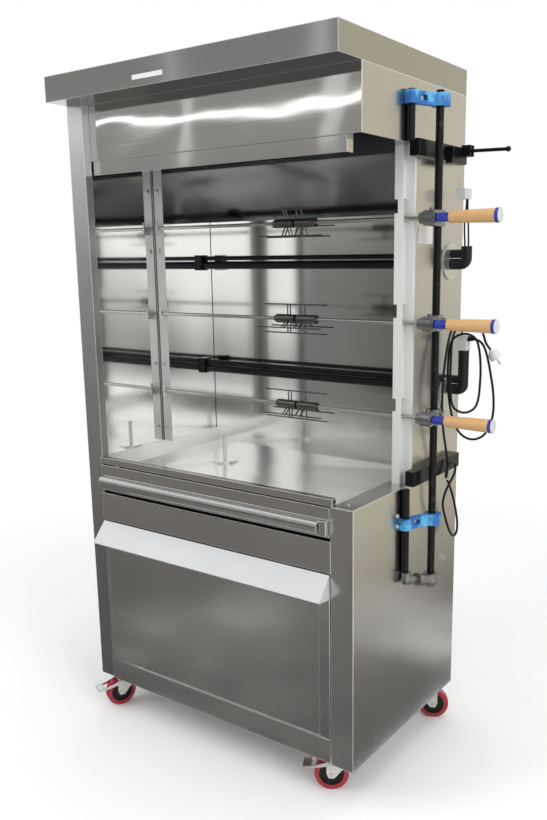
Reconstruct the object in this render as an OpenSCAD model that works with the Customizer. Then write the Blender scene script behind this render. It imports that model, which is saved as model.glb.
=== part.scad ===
// Three-skewer electric grill cabinet on four casters.
// Millimetres, +Z up. The origin is on the floor under the middle of the whole object's box.
// The open front faces -Y and the skewer handles stand out at the right, +X.
// Inside the modules x runs from the left side, y from the lower front, z from the floor.

/* [Cabinet] */
// Width over the side panels
cab_w = 1000; // [960:5:1040]
// Depth from the lower front to the back
cab_d = 610; // [600:5:640]
// Lower edge of the panels above the floor
base_z = 110; // [110:1:116]
// Top of the ledge and of the lower cabinet
ledge_z = 848; // [840:1:856]
// Lower edge of the canopy
canopy_z = 1920; // [1910:1:1930]
// Height of the hood under the canopy
hood_h = 159; // [145:1:170]
// Height of the canopy
canopy_h = 70; // [55:1:90]
// How far the canopy stands out in front
canopy_over = 64; // [40:1:90]
// Hood face behind the lower front
hood_set = 36; // [30:1:44]
// Thickness of the bent sheet
sheet = 2; // [1.5:0.5:2.5]
// Face width of the left post
left_post_w = 64; // [58:1:70]
// Left post face behind the lower front
left_post_y = 10; // [6:1:16]
// Face width of the lower right post
right_post_w = 69; // [60:1:75]

/* [Cavity] */
// Inner face of the left liner
liner_x = 42; // [36:1:46]
// Front face of the back liner
liner_y = 583; // [575:1:590]
// Front edge of the cut-back right panel
cut_y = 314; // [308:1:320]
// Fall of the sloping baffle below the hood
baffle_fall = 161; // [141:5:181]
// Upper end of the baffle, from the front
baffle_y = 440; // [420:5:460]
// Height of the fascia beam
beam_h = 40; // [30:1:50]
// Depth of the fascia beam
beam_d = 28; // [20:1:34]

/* [Hearth] */
// Rim of the basin's left side
rim_z = 861; // [856:1:864]
// Edge of the sloping basin floor
pan_z = 815; // [812:1:818]
// Fall of the basin floor to the drain
pan_fall = 12; // [6:1:14]
// Drain from the left
drain_x = 267; // [240:1:300]
// Drain from the front
drain_y = 364; // [330:1:400]
// Top of the standing drain pipe
drain_top = 897; // [880:1:910]
// Top of the front rail
rail_z = 867; // [864:1:872]
// Depth of the front rail
rail_d = 20; // [16:1:28]

/* [Drawers] */
// Lower edge of the tray front
tray_front_z = 762; // [758:1:765]
// Radius of the tray lip
lip_r = 20; // [16:1:22]
// Gap between the drawer front and the middle fascia
fascia_gap = 4; // [3:0.5:6]
// Upper edge of the middle fascia
fascia_top = 752; // [748:1:758]
// Gap round the drawer fronts
front_gap = 3; // [2:0.5:4]
// Upper edge of the drawer front
drawer_top = 660; // [650:1:660]
// How far the flap handle stands out
flap_out = 50; // [40:1:56]
// Height of the flap handle's sloping face
flap_h = 60; // [50:1:64]
// How far the raised field stands out
field_out = 12; // [8:1:14]
// Width of the bevel beside the raised field
field_bevel = 26; // [18:1:30]

/* [Skewers] */
// Rod heights above the ledge
rod_up = [192, 450, 725];
// Rods from the lower front
rod_y = 298; // [296:0.5:299]
// Rod diameter
rod_d = 11; // [8:0.5:11]
// Left tip of the rods
tip_x = 48; // [46:1:52]
// Start of the ferrule from the right panel
ferrule_out = 72; // [68:1:76]
// Length of the ferrule
ferrule_len = 35; // [30:1:44]
// Length of the wooden grip
grip_len = 125; // [110:1:135]
// Diameter of the wooden grip at its wide end
grip_d = 36; // [34:1:44]
// Left end of the prong hubs from the middle of the cabinet
hub_off = 41; // [20:1:60]
// Length of one prong hub
hub_len = 74; // [60:1:76]
// Diameter of a prong hub
hub_d = 26; // [22:1:28]
// Radius of the prong cage
cage_r = 42; // [36:1:46]
// Diameter of the cage wire
wire_d = 4; // [3:0.5:4]

/* [Heaters] */
// Heights of the thick heater tubes above the ledge
tube_up = [242, 604];
// Heater tubes from the lower front
tube_y = 530; // [524:1:540]
// Diameter of a thick tube
thick_d = 26; // [22:1:28]
// Diameter of a thin tube
thin_d = 14; // [10:1:16]
// Thin tube above the thick one
thin_up = 24; // [22:1:26]

/* [Rack] */
// Outer pipe from the right panel
outer_out = 50; // [49:0.5:52]
// Outer pipe from the lower front
outer_y = 343; // [340:1:346]
// Inner pipe stubs from the right panel
inner_out = 11; // [11:0.5:12]
// Inner pipe stubs from the lower front
inner_y = 259; // [255:1:262]
// Outside diameter of the pipe
pipe_d = 21.3; // [20:0.1:21.3]
// Middle of the upper pipe clamp below the canopy
clamp_down = 52; // [46:1:60]
// Middle of the lower pipe clamp below the ledge
clamp_under = 102; // [96:1:108]
// Height of a pipe clamp
clamp_h = 32; // [26:1:36]
// Middle of the lower pipe link below the ledge
link_under = 266; // [258:1:272]

/* [Casters] */
// Wheel diameter
wheel_d = 98; // [94:1:98]
// Wheel width
wheel_w = 26; // [22:1:28]
// Wheel axle behind the swivel pin
trail = 38; // [34:1:40]
// Swivel pins from the side of the cabinet
pin_in_x = 70; // [66:1:80]
// Swivel pins from the front and the back
pin_in_y = 72; // [72:1:80]

/* [Hidden] */
$fn = 48;

over = 1;                       // how far a cutter runs past a face
run_gap = 0.3;                  // gap between pieces that move on each other
fit_gap = 0.1;                  // gap of a piece pressed or pushed on another
rest = 0.3;                     // gap under a sliding drawer
right_x = cab_w;                // outer face of the right panel
hood_z = canopy_z - hood_h;     // lower edge of the hood
top_z = canopy_z + canopy_h;
baffle_z = hood_z - baffle_fall;
fascia_z = drawer_top + fascia_gap;

// Heights in the cooking space keep their share of it.
drawn_cavity = 913;
function share(up) = ledge_z + up * (hood_z - ledge_z) / drawn_cavity;
rod_z = [for (up = rod_up) share(up)];
tube_z = [for (up = tube_up) share(up)];
ferrule_x = right_x + ferrule_out;
hub_x = cab_w / 2 + hub_off;
outer_x = right_x + outer_out;
inner_x = right_x + inner_out;
clamp_top = canopy_z - clamp_down;
clamp_low = ledge_z - clamp_under;
link_z = ledge_z - link_under;
right_post_x = cab_w - right_post_w;
ledge_x = cab_w - 65;           // inner edge of the side ledge
ledge_under = ledge_z - sheet;
right_liner_x = cab_w - 42;
open_x0 = left_post_w;          // front opening between the posts
open_x1 = right_post_x;

// A box from three ranges.
module slab(x, y, z)
    translate([x[0], y[0], z[0]])
        cube([x[1] - x[0], y[1] - y[0], z[1] - z[0]]);

// A profile of (y, z) points pulled along x.
module along_x(x)
    translate([x[0], 0, 0])
        rotate([90, 0, 90])
            linear_extrude(x[1] - x[0])
                children();

// A profile of (x, z) points pulled along y.
module along_y(y)
    translate([0, y[1], 0])
        rotate([90, 0, 0])
            linear_extrude(y[1] - y[0])
                children();

// A round bar along x.
module bar_x(x, y, z, d)
    translate([x[0], y, z])
        rotate([0, 90, 0])
            cylinder(d = d, h = x[1] - x[0]);

// A round bar along z.
module bar_z(x, y, z, d)
    translate([x, y, z[0]])
        cylinder(d = d, h = z[1] - z[0]);

// Moves cabinet coordinates to the origin: the box runs from the left side to the end caps of the
// skewers and from the plate on the canopy to the back.
module placed()
    translate([-(cap_x + cap_len) / 2, (canopy_over + plate_t - cab_d) / 2, 0])
        children();

// ---------------------------------------------------------------- cabinet

module left_side_panel() {
    back = left_post_y + sheet;
    color("lightgray")
        placed()
            translate([0, 0, base_z])
                linear_extrude(canopy_z - base_z)
                    polygon([[0, left_post_y], [left_post_w, left_post_y], [left_post_w, hood_set],
                        [left_post_w - sheet, hood_set], [left_post_w - sheet, back], [sheet, back],
                        [sheet, cab_d], [0, cab_d]]);
}

// Openings for one pair of heater tubes.
module tube_holes(x) {
    for (z = tube_z) {
        bar_x(x, tube_y, z, thick_d + 2 * run_gap);
        bar_x(x, tube_y, z + thin_up, thin_d + 2 * run_gap);
    }
}

module right_side_panel() {
    face = hood_set + sheet;
    color("lightgray")
        placed()
            difference() {
                along_x([right_x - sheet, right_x])
                    polygon([[sheet, base_z], [cab_d, base_z], [cab_d, canopy_z], [face, canopy_z],
                        [face, hood_z], [cut_y, hood_z], [cut_y, ledge_under], [sheet, ledge_under]]);
                tube_holes([right_x - sheet - over, right_x + over]);
            }
}

module back_panel() {
    color("lightgray")
        placed()
            slab([sheet, cab_w - sheet], [cab_d - sheet, cab_d], [base_z, canopy_z]);
}

base_front = 42;                // the base pan starts behind the folded posts

module base_pan() {
    color("gray")
        placed()
            slab([sheet, cab_w - sheet], [base_front, cab_d - sheet], [base_z, base_z + sheet]);
}

module canopy_cap() {
    front = -canopy_over;
    color("lightgray")
        placed() {
            difference() {
                slab([0, cab_w], [front, cab_d], [canopy_z, top_z]);
                slab([sheet, cab_w - sheet], [front + sheet, cab_d - sheet],
                    [canopy_z - over, top_z - sheet]);
            }
            slab([sheet - over / 2, cab_w - sheet + over / 2], [front + sheet - over / 2, hood_set + sheet],
                [canopy_z, canopy_z + sheet]);
        }
}

module hood_front() {
    color("lightgray")
        placed()
            slab([sheet, cab_w], [hood_set, hood_set + sheet], [hood_z, canopy_z]);
}

module ceiling_baffle() {
    face = hood_set + sheet;
    color("dimgray")
        placed() {
            slab([sheet, cab_w - sheet], [face, cab_d - sheet], [hood_z, hood_z + sheet]);
            along_x([liner_x, right_liner_x])
                polygon([[baffle_y, hood_z + sheet / 2], [liner_y, baffle_z], [liner_y, baffle_z + 2 * sheet],
                    [baffle_y + 2 * sheet, hood_z + sheet / 2]]);
        }
}

beam_end = cab_w - 43;          // right end of the beam, short of the side panel

module fascia_beam() {
    front = hood_set + 2 * sheet;
    color("gray")
        placed()
            difference() {
                slab([liner_x, beam_end], [front, front + beam_d], [hood_z - beam_h, hood_z]);
                slab([liner_x + sheet, beam_end - sheet], [front + sheet, front + beam_d + over],
                    [hood_z - beam_h + sheet, hood_z - sheet]);
            }
}

liner_front = hood_set + 2 * sheet;
liner_low = 800;                // the liner goes down beside the basin

module cavity_liner() {
    color("silver")
        placed() {
            slab([liner_x - sheet, liner_x], [liner_front, liner_y + sheet], [liner_low, hood_z]);
            slab([liner_x - sheet, right_liner_x + sheet], [liner_y, liner_y + sheet], [liner_low, hood_z]);
            difference() {
                slab([right_liner_x, right_liner_x + sheet], [post_back, liner_y + sheet],
                    [ledge_z, hood_z]);
                tube_holes([right_liner_x - over, right_liner_x + sheet + over]);
            }
        }
}

post_edge = cab_w - 49;         // inner edge of the slotted post
post_web = cab_w - 26;          // web between its two faces
post_front = 286;               // front face, before the rods
post_back = 306;                // back of the rear face, behind the rods
notch_deep = 10;                // notch beside each rod
notch_low = 14;                 // notch above the rod's middle
notch_high = 50;
slot_side = rod_d / 2 + 0.5;    // half width of the slot in the web

module slotted_post() {
    color("whitesmoke")
        placed()
            difference() {
                union() {
                    slab([post_edge, post_web + sheet], [post_front, post_front + sheet], [ledge_z, hood_z]);
                    slab([post_web, post_web + sheet], [post_front, post_back], [ledge_z, hood_z]);
                    slab([right_liner_x, right_x], [post_back - sheet, post_back], [ledge_z, hood_z]);
                    slab([right_x - sheet, right_x], [post_back - sheet, cut_y], [ledge_z, hood_z]);
                }
                for (z = rod_z) {
                    slab([post_edge - over, post_edge + notch_deep],
                        [post_front - over, post_front + sheet + over], [z + notch_low, z + notch_high]);
                    slab([post_web - over, post_web + sheet + over], [rod_y - slot_side, rod_y + slot_side],
                        [z - slot_side, z + notch_high]);
                }
            }
}

support_w = 42;                 // face width of the tip support
support_y = 305;                // its face, behind the rods
hook_x = 68;                    // hooks that carry the rod tips
hook_h = 20;
hook_t = 4;

module tip_support() {
    color("whitesmoke")
        placed() {
            slab([liner_x, liner_x + support_w], [support_y, support_y + sheet], [rim_z + sheet, hood_z]);
            for (z = rod_z)
                difference() {
                    slab([hook_x, hook_x + hook_t], [support_y - hook_h, support_y + sheet / 2],
                        [z - hook_h, z + hook_h]);
                    slab([hook_x - over, hook_x + hook_t + over], [rod_y - slot_side, rod_y + slot_side],
                        [z, z + hook_h + over]);
                    bar_x([hook_x - over, hook_x + hook_t + over], rod_y, z, 2 * slot_side);
                }
        }
}

// ---------------------------------------------------------------- hearth

pan_left = 50;                  // edge of the sloping floor
pan_right = ledge_x - 10;
pan_front = hood_set + sheet + fit_gap; // behind the folds of both posts
pan_t = 3;
seat_d = 90;                    // flat round the drain
hole_d = 30;                    // drain hole

// The floor falls from its four edges to the drain.
module pan_floor() {
    low = pan_z - pan_fall;
    edge = [[pan_left, pan_front], [pan_right, pan_front], [pan_right, liner_y], [pan_left, liner_y]];
    points = concat([for (p = edge) [p[0], p[1], pan_z]], [[drain_x, drain_y, low]],
        [for (p = edge) [p[0], p[1], pan_z - pan_t]], [[drain_x, drain_y, low - pan_t]]);
    faces = concat([for (i = [0:3]) [(i + 1) % 4, i, 4]], [for (i = [0:3]) [5 + i, 5 + (i + 1) % 4, 9]],
        [for (i = [0:3]) [i, (i + 1) % 4, 5 + i]], [for (i = [0:3]) [(i + 1) % 4, 5 + (i + 1) % 4, 5 + i]]);
    polyhedron(points, faces);
}

module hearth_basin() {
    low = pan_z - pan_fall;
    bottom = pan_z - pan_t;
    color("silver")
        placed()
            difference() {
                union() {
                    pan_floor();
                    bar_z(drain_x, drain_y, [low - pan_t, low + pan_t], seat_d);
                    along_y([pan_front, liner_y])
                        polygon([[liner_x, rim_z], [liner_x + sheet, rim_z], [pan_left + 2 * sheet, bottom],
                            [pan_left, bottom]]);
                    along_y([pan_front, liner_y])
                        polygon([[ledge_x - sheet, ledge_under], [ledge_x, ledge_under],
                            [pan_right + sheet, bottom], [pan_right - sheet, bottom]]);
                    slab([liner_x, ledge_x], [pan_front - sheet, pan_front + sheet / 2], [bottom, ledge_under]);
                    slab([open_x0 + fit_gap, open_x1 - fit_gap], [rail_d - sheet, pan_front],
                        [ledge_under - sheet, ledge_under]);
                }
                bar_z(drain_x, drain_y, [low - 3 * pan_t, low + 3 * pan_t], hole_d);
            }
}

drain_ring_d = 75;
drain_ring_t = 4;
drain_pipe_d = 12;
drain_tail = 10;

module drain_pipe() {
    seat = pan_z - pan_fall + pan_t;
    color("silver")
        placed() {
            bar_z(drain_x, drain_y, [seat, seat + drain_ring_t], drain_ring_d);
            bar_z(drain_x, drain_y, [seat, drain_top], drain_pipe_d);
            bar_z(drain_x, drain_y, [seat - drain_tail, seat + over], hole_d - 2 * run_gap);
        }
}

module front_rail() {
    deep = rail_d;
    color("gray")
        placed()
            along_x([open_x0, ledge_x + sheet])
                polygon([[0, ledge_z], [sheet, ledge_z], [sheet, rail_z - sheet], [deep - sheet, rail_z - sheet],
                    [deep - sheet, ledge_z], [deep, ledge_z], [deep, rail_z], [0, rail_z]]);
}

module side_ledge() {
    color("gray")
        placed() {
            slab([ledge_x, cab_w], [0, cut_y], [ledge_under, ledge_z]);
            slab([ledge_x, ledge_x + sheet], [pan_front, cut_y], [pan_z, ledge_under + sheet / 2]);
        }
}

module lower_post() {
    fold = 30;
    color("gray")
        placed()
            translate([0, 0, base_z])
                linear_extrude(ledge_under - base_z)
                    polygon([[right_post_x, 0], [cab_w, 0], [cab_w, sheet], [right_post_x + sheet, sheet],
                        [right_post_x + sheet, fold], [right_post_x, fold]]);
}

module middle_fascia() {
    fold = 20;
    color("gray")
        placed()
            along_x([open_x0, open_x1])
                polygon([[0, fascia_z], [sheet, fascia_z], [sheet, fascia_top - sheet],
                    [fold, fascia_top - sheet], [fold, fascia_top], [0, fascia_top]]);
}

runner_y = [45, 560];           // runners behind the posts
runner_in = 100;                // inner edge of a runner
runner_up = 24;
tray_z = 766;                   // top of the tray runners
box_z = 148;                    // top of the drawer runners

// One runner at the left side, with its shelf top at z.
module left_runner(z) {
    slab([sheet, runner_in], runner_y, [z - sheet, z]);
    slab([sheet, 2 * sheet], runner_y, [z - sheet, z + runner_up]);
}

module drawer_runners() {
    color("gray")
        placed()
            for (z = [tray_z, box_z]) {
                left_runner(z);
                translate([cab_w, 0, 0])
                    mirror([1, 0, 0])
                        left_runner(z);
            }
}

bolt_d = 14;
bolt_h = 5;

// A dome-headed bolt on a face, standing out along +z.
module bolt_head() {
    cylinder(d = bolt_d, h = bolt_h / 2);
    translate([0, 0, bolt_h / 2])
        cylinder(d1 = bolt_d, d2 = bolt_d / 2, h = bolt_h / 2);
}

support_bolts = [for (up = [64, 282, 652, 842]) share(up)];
saddle_bolts = [clamp_low - 4, clamp_low + 26];
tab_y = cab_d - 88;             // small tab low on the right side
tab_z = link_z - 18;

module panel_bolts() {
    color("silver")
        placed() {
            translate([ledge_x + 29, 33, ledge_z])
                bolt_head();
            for (z = support_bolts)
                translate([liner_x + support_w / 2, support_y, z])
                    rotate([90, 0, 0])
                        bolt_head();
            for (z = saddle_bolts)
                translate([right_x, inner_y - 26, z])
                    rotate([0, 90, 0])
                        bolt_head();
            slab([right_x, right_x + 12], [tab_y, tab_y + 3], [tab_z - 9, tab_z + 9]);
        }
}

plate_t = 1;
plate_x = [cab_w / 2 - 145, cab_w / 2 - 34];
plate_h1 = 12;
patch_y = [cut_y + 14, cut_y + 98];
patch_h = 46;

module blank_plates() {
    low = (canopy_z + top_z - plate_h1) / 2 - 11;
    patch_z = share(660);
    color("white")
        placed() {
            slab(plate_x, [-canopy_over - plate_t, -canopy_over], [low, low + plate_h1]);
            slab([right_x, right_x + plate_t], patch_y, [patch_z, patch_z + patch_h]);
        }
}

// ---------------------------------------------------------------- drawers

box_x = [76, cab_w - 76];
tray_back = 520;
tray_h = 26;                    // the tray stays under the drain
box_back = 560;
box_h = 412;

// An open-topped box of sheet.
module open_box(x, y, z) {
    difference() {
        slab(x, y, z);
        slab([x[0] + sheet, x[1] - sheet], [y[0] + sheet, y[1] - sheet], [z[0] + sheet, z[1] + over]);
    }
}

module tray_pan() {
    color("silver")
        placed()
            open_box(box_x, [sheet, tray_back], [tray_z + rest, tray_z + tray_h]);
}

lip_x = [open_x0 + 16, open_x1 - 28]; // the rolled lip ends short of the post
lip_mid_y = -8;
lip_mid_z = 790;
cap_gap = 0.5;

module tray_front() {
    color("gray")
        placed() {
            slab([open_x0 + front_gap, open_x1 - front_gap], [0, sheet], [tray_front_z, ledge_under - front_gap]);
            along_x(lip_x)
                translate([lip_mid_y, lip_mid_z]) {
                    difference() {
                        circle(r = lip_r);
                        circle(r = lip_r - sheet);
                        translate([0, -lip_r - over])
                            square([lip_r + over, 2 * lip_r + 2 * over]);
                        rotate(45)
                            translate([-lip_r - over, -lip_r - over])
                                square([lip_r + over, lip_r + over]);
                    }
                    translate([-over / 2, lip_r - sheet])
                        square([-lip_mid_y + over, sheet]);
                }
            slab([lip_x[1] + cap_gap, open_x1 - front_gap - cap_gap], [-lip_r + sheet, -cap_gap],
                [lip_mid_z - lip_r, lip_mid_z + lip_r]);
        }
}

module drawer_box() {
    color("silver")
        placed()
            open_box(box_x, [sheet, box_back], [box_z + rest, box_z + box_h]);
}

field_low = 182;                // lower edge of the bevel
field_top = 590;
field_bevel_low = 14;

module drawer_front() {
    x0 = open_x0 + front_gap;
    x1 = open_x1 - front_gap;
    color("gray")
        placed() {
            slab([x0, x1], [0, sheet], [base_z + front_gap, drawer_top]);
            hull() {
                slab([x0 + over, x1 - over], [-fit_gap, sheet / 2], [field_low, field_top]);
                slab([x0 + field_bevel, x1 - field_bevel], [-field_out, 0],
                    [field_low + field_bevel_low, field_top - field_bevel_low]);
            }
        }
}

module drawer_flap() {
    low = drawer_top - flap_h;
    end_low = low - 8;
    ends = [[open_x0 + front_gap, open_x0 + front_gap + sheet], [open_x1 - front_gap - sheet,
        open_x1 - front_gap]];
    color("white")
        placed() {
            along_x([ends[0][0], ends[1][1]])
                polygon([[0, drawer_top], [-flap_out, low], [-flap_out, low - sheet], [-flap_out + 12, low - 4],
                    [-flap_out + 12, low - 2], [-flap_out + 3, low], [0, drawer_top - 3]]);
            for (x = ends)
                along_x(x)
                    polygon([[0, drawer_top], [-flap_out, low], [-flap_out, low - sheet], [0, end_low]]);
        }
}

// ---------------------------------------------------------------- heaters

socket_len = 16;

module heater_tubes() {
    x = [liner_x + socket_len, right_x];
    color("black")
        placed()
            for (z = tube_z) {
                bar_x(x, tube_y, z, thick_d);
                bar_x(x, tube_y, z + thin_up, thin_d);
            }
}

flange_d = 104;
flange_t = 4;
flange_up = [-18, 7];           // middle of each flange from its thick tube

module heater_mounts() {
    side = thick_d / 2 + 4;
    color("dimgray")
        placed()
            for (i = [0, 1]) {
                slab([liner_x, liner_x + socket_len], [tube_y - side, tube_y + side],
                    [tube_z[i] - side, tube_z[i] + thin_up + thin_d / 2 + 4]);
                bar_x([right_x, right_x + flange_t], tube_y, tube_z[i] + flange_up[i], flange_d);
            }
}

boot_x = right_x + 50;          // upright part of a boot
boot_d = 31;
boot_bend = 17;                 // bend radius of a boot
boot_top = [tube_z[0] + 116, tube_z[1] + 50]; // upper ends of the two boots
stub_d = 24;
stub_up = 29;                   // short sleeve above the thick one

module heater_boots() {
    turn_x = boot_x - boot_bend;
    color("black")
        placed()
            for (i = [0, 1]) {
                bar_x([right_x + flange_t, turn_x], tube_y, tube_z[i], boot_d);
                bar_x([right_x + flange_t, boot_x], tube_y, tube_z[i] + stub_up, stub_d);
                translate([turn_x, tube_y, tube_z[i] + boot_bend])
                    rotate([90, 0, 0])
                        rotate([0, 0, -90])
                            rotate_extrude(angle = 90)
                                translate([boot_bend, 0])
                                    circle(d = boot_d);
                bar_z(boot_x, tube_y, [tube_z[i] + boot_bend, boot_top[i]], boot_d);
            }
}

conn_w = 26;
conn_l = 44;
conn_h = 28;
low_conn = [boot_x, tube_y, boot_top[0]]; // middle of the lower face
high_conn = [boot_x - 4, tube_y - 18, boot_top[1] + 128];
groove = 4;

// A pale terminal block with a groove round its middle.
module connector() {
    difference() {
        translate([-conn_w / 2, -conn_l / 2, 0])
            cube([conn_w, conn_l, conn_h]);
        for (s = [-1, 1])
            translate([0, s * conn_l / 5, conn_h - groove])
                cylinder(d = 2 * groove, h = groove + over);
        for (s = [-1, 1])
            translate([conn_w / 2 - 2, s * conn_l / 5 - groove / 2, -over])
                cube([groove, groove, conn_h + 2 * over]);
    }
}

module heater_connectors() {
    color("white")
        placed() {
            translate(high_conn)
                connector();
            translate([low_conn[0], low_conn[1] - conn_h / 2, low_conn[2] + conn_l / 2])
                rotate([-90, 0, 0])
                    connector();
        }
}

// ---------------------------------------------------------------- cords

cord_d = 7;
lead_d = 5;
cord_sides = 8;

function unit(v) = v / norm(v);
function turned(u, t) = unit(u - (u * t) * t);

// Carries a side direction along the tangents without twist.
function sides(t, u, i = 0) = i == len(t) ? [] : let (n = turned(u, t[i])) concat([n], sides(t, n, i + 1));

// A round cord swept along points, closed at both ends.
module cord(points, d, start) {
    last = len(points) - 1;
    tangent = [for (i = [0:last]) unit(points[min(i + 1, last)] - points[max(i - 1, 0)])];
    side = sides(tangent, start);
    rings = [for (i = [0:last], k = [0:cord_sides - 1])
        let (a = 360 * k / cord_sides)
        points[i] + d / 2 * (cos(a) * side[i] + sin(a) * cross(tangent[i], side[i]))];
    walls = [for (i = [0:last - 1], k = [0:cord_sides - 1])
        let (n = (k + 1) % cord_sides, a = i * cord_sides, b = a + cord_sides)
        [a + k, b + k, b + n, a + n]];
    caps = [[for (k = [0:cord_sides - 1]) k], [for (k = [0:cord_sides - 1])
        (last + 1) * cord_sides - 1 - k]];
    polyhedron(rings, concat(walls, caps));
}

// The routes are drawn for these places, and move with the connectors and the rail.
drawn_x = 1000;
drawn_y = 530;
drawn_tubes = [1090, 1452];
drawn_conn = 1250;              // top of the lower connector
drawn_ledge = 848;
knot_top = 890;                 // the spare cord above this stretches with the connector

function moved(points, i) = [for (p = points)
    p + [right_x - drawn_x, tube_y - drawn_y, tube_z[i] - drawn_tubes[i]]];
function stretched(z) = let (up = ledge_z - drawn_ledge) z < knot_top ? z + up :
    knot_top + up + (z - knot_top) * (low_conn[2] + conn_l - knot_top - up) / (drawn_conn - knot_top);
function hung(points) = [for (p = points)
    [p[0] + right_x - drawn_x, p[1] + tube_y - drawn_y, stretched(p[2])]];

// Two leads rise from the upper boot to the upper connector, one behind the other.
front_lead = moved([[1057, 525, 1502], [1057, 525, 1514], [1057, 522, 1550], [1055, 520, 1590],
    [1054, 520, 1616], [1054, 520, 1630]], 1);
back_lead = moved([[1042, 534, 1502], [1042, 534, 1514], [1040, 533, 1550], [1043, 530, 1590],
    [1046, 530, 1616], [1046, 530, 1630]], 1);
// The supply cord leaves the lower connector, hangs in two loops and ends in the plug.
supply_points = moved([[1063, 531, 1240], [1076, 531, 1240], [1090, 534, 1237], [1102, 539, 1227],
    [1110, 544, 1209], [1116, 552, 1180], [1122, 561, 1136], [1128, 568, 1088], [1130, 571, 1034],
    [1125, 567, 992], [1109, 556, 956], [1085, 540, 943], [1061, 522, 952], [1043, 506, 980],
    [1031, 496, 1024], [1024, 489, 1080], [1021, 487, 1140], [1024, 489, 1214], [1034, 495, 1243],
    [1061, 509, 1256], [1087, 521, 1244], [1098, 527, 1214], [1101, 535, 1160], [1100, 537, 1110],
    [1097, 535, 1066], [1088, 528, 1038], [1066, 511, 1026], [1043, 493, 1038], [1034, 486, 1066],
    [1032, 482, 1120], [1033, 480, 1180], [1036, 481, 1240], [1048, 487, 1276], [1075, 502, 1292],
    [1101, 517, 1279], [1112, 525, 1251], [1118, 529, 1230], [1130, 535, 1211]], 0);
// The spare cord leaves the lower connector, is knotted at the lower rail and ends in a hanging loop.
spare_points = hung([[1042, 530, 1250], [1042, 530, 1260], [1042, 526, 1276], [1040, 514, 1288],
    [1037, 497, 1287], [1035, 480, 1273], [1034, 463, 1245], [1034, 446, 1203], [1034, 433, 1147],
    [1034, 427, 1087], [1034, 429, 1031], [1034, 438, 985], [1034, 452, 942], [1034, 466, 904],
    [1035, 471, 880], [1037, 467, 858], [1041, 454, 843], [1046, 438, 844], [1051, 428, 859],
    [1055, 432, 878], [1057, 447, 889], [1058, 464, 886], [1058, 476, 870], [1055, 475, 848],
    [1049, 464, 827], [1042, 453, 804], [1037, 446, 780], [1034, 447, 754], [1034, 464, 716],
    [1034, 486, 678], [1034, 508, 650], [1034, 529, 638], [1034, 546, 644], [1034, 552, 664],
    [1034, 545, 698], [1034, 527, 742], [1034, 508, 778], [1034, 488, 808], [1034, 474, 824]]);

module heater_leads() {
    color("black")
        placed() {
            cord(front_lead, lead_d, [0, 1, 0]);
            cord(back_lead, lead_d, [0, 1, 0]);
        }
}

module supply_cord() {
    color("black")
        placed()
            cord(supply_points, cord_d, [0, 0, 1]);
}

module spare_cord() {
    color("black")
        placed()
            cord(spare_points, cord_d, [1, 0, 0]);
}

plug_d = 34;
plug_len = 30;
pin_d = 4.8;
pin_len = 19;
pin_gap = 19;

module supply_plug() {
    last = len(supply_points) - 1;
    tip = supply_points[last];
    way = unit(tip - supply_points[last - 1]);
    tilt = acos(way[2]);
    turn = atan2(way[1], way[0]);
    color("gainsboro")
        placed()
            translate(tip)
                rotate([0, tilt, turn]) {
                    cylinder(d1 = 12, d2 = plug_d, h = plug_len / 2);
                    translate([0, 0, plug_len / 2])
                        cylinder(d = plug_d, h = plug_len / 2);
                    for (s = [-1, 1])
                        translate([0, s * pin_gap / 2, plug_len - over])
                            cylinder(d = pin_d, h = pin_len + over);
                }
}

// ---------------------------------------------------------------- rack

rail_heights = [ledge_z + 1, hood_z - 32]; // lower edges of the two side rails
side_rail_h = 42;
side_rail_out = 26;
side_rail_y = [cut_y - 39, cab_d - 42];

module side_rails() {
    color("black")
        placed()
            for (z = rail_heights)
                slab([right_x, right_x + side_rail_out], side_rail_y, [z, z + side_rail_h]);
}

block_x = [right_x + side_rail_out, right_x + 46];
block_y = [432, 516];
block_z = [hood_z - 40, hood_z + 3];
ear_out = 26;
ear_t = 6;
ear_h = 30;
pivot_x = right_x + 62;
pivot_z = hood_z - 5;
lever_y = 500;
lever_w = 12;
lever_d = 9.5;
pivot_d = 6;

module lock_block() {
    ear_gap = lever_w / 2 + run_gap;
    color("black")
        placed() {
            slab(block_x, block_y, block_z);
            for (y = [lever_y - ear_gap - ear_t, lever_y + ear_gap])
                slab([block_x[1] - over, block_x[1] + ear_out], [y, y + ear_t],
                    [pivot_z - ear_h / 2, pivot_z + ear_h / 2]);
            slab([block_x[1] - over, block_x[1] + 4], [lever_y - ear_gap - ear_t, lever_y + ear_gap + ear_t],
                [pivot_z - ear_h / 2, pivot_z + ear_h / 2]);
            translate([pivot_x, lever_y - ear_gap - over, pivot_z])
                rotate([-90, 0, 0])
                    cylinder(d = pivot_d, h = 2 * ear_gap + 2 * over);
        }
}

lever_end = pivot_x + 113;
lever_rise = -3;
ball_d = 15;

module lock_lever() {
    color("black")
        placed()
            difference() {
                union() {
                    translate([pivot_x, lever_y - lever_w / 2, pivot_z])
                        rotate([-90, 0, 0])
                            cylinder(d = 18, h = lever_w);
                    translate([pivot_x, lever_y, pivot_z])
                        rotate([0, 90 - atan2(lever_rise, lever_end - pivot_x), 0])
                            cylinder(d = lever_d, h = lever_end - pivot_x);
                    translate([lever_end, lever_y, pivot_z + lever_rise])
                        sphere(d = ball_d);
                }
                translate([pivot_x, lever_y - lever_w, pivot_z])
                    rotate([-90, 0, 0])
                        cylinder(d = pivot_d + 2 * run_gap, h = 2 * lever_w);
            }
}

collar = 22;                    // height of an elbow's collar above its middle
stub_low = [link_z + collar, ledge_under - sheet];
stub_high = [hood_z + sheet, clamp_top + clamp_h / 2 + 4];
link_fall = 20;                 // how much lower the outer end of the link lies
outer_span = [link_z - link_fall + collar, clamp_top + clamp_h / 2 + 8];

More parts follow.
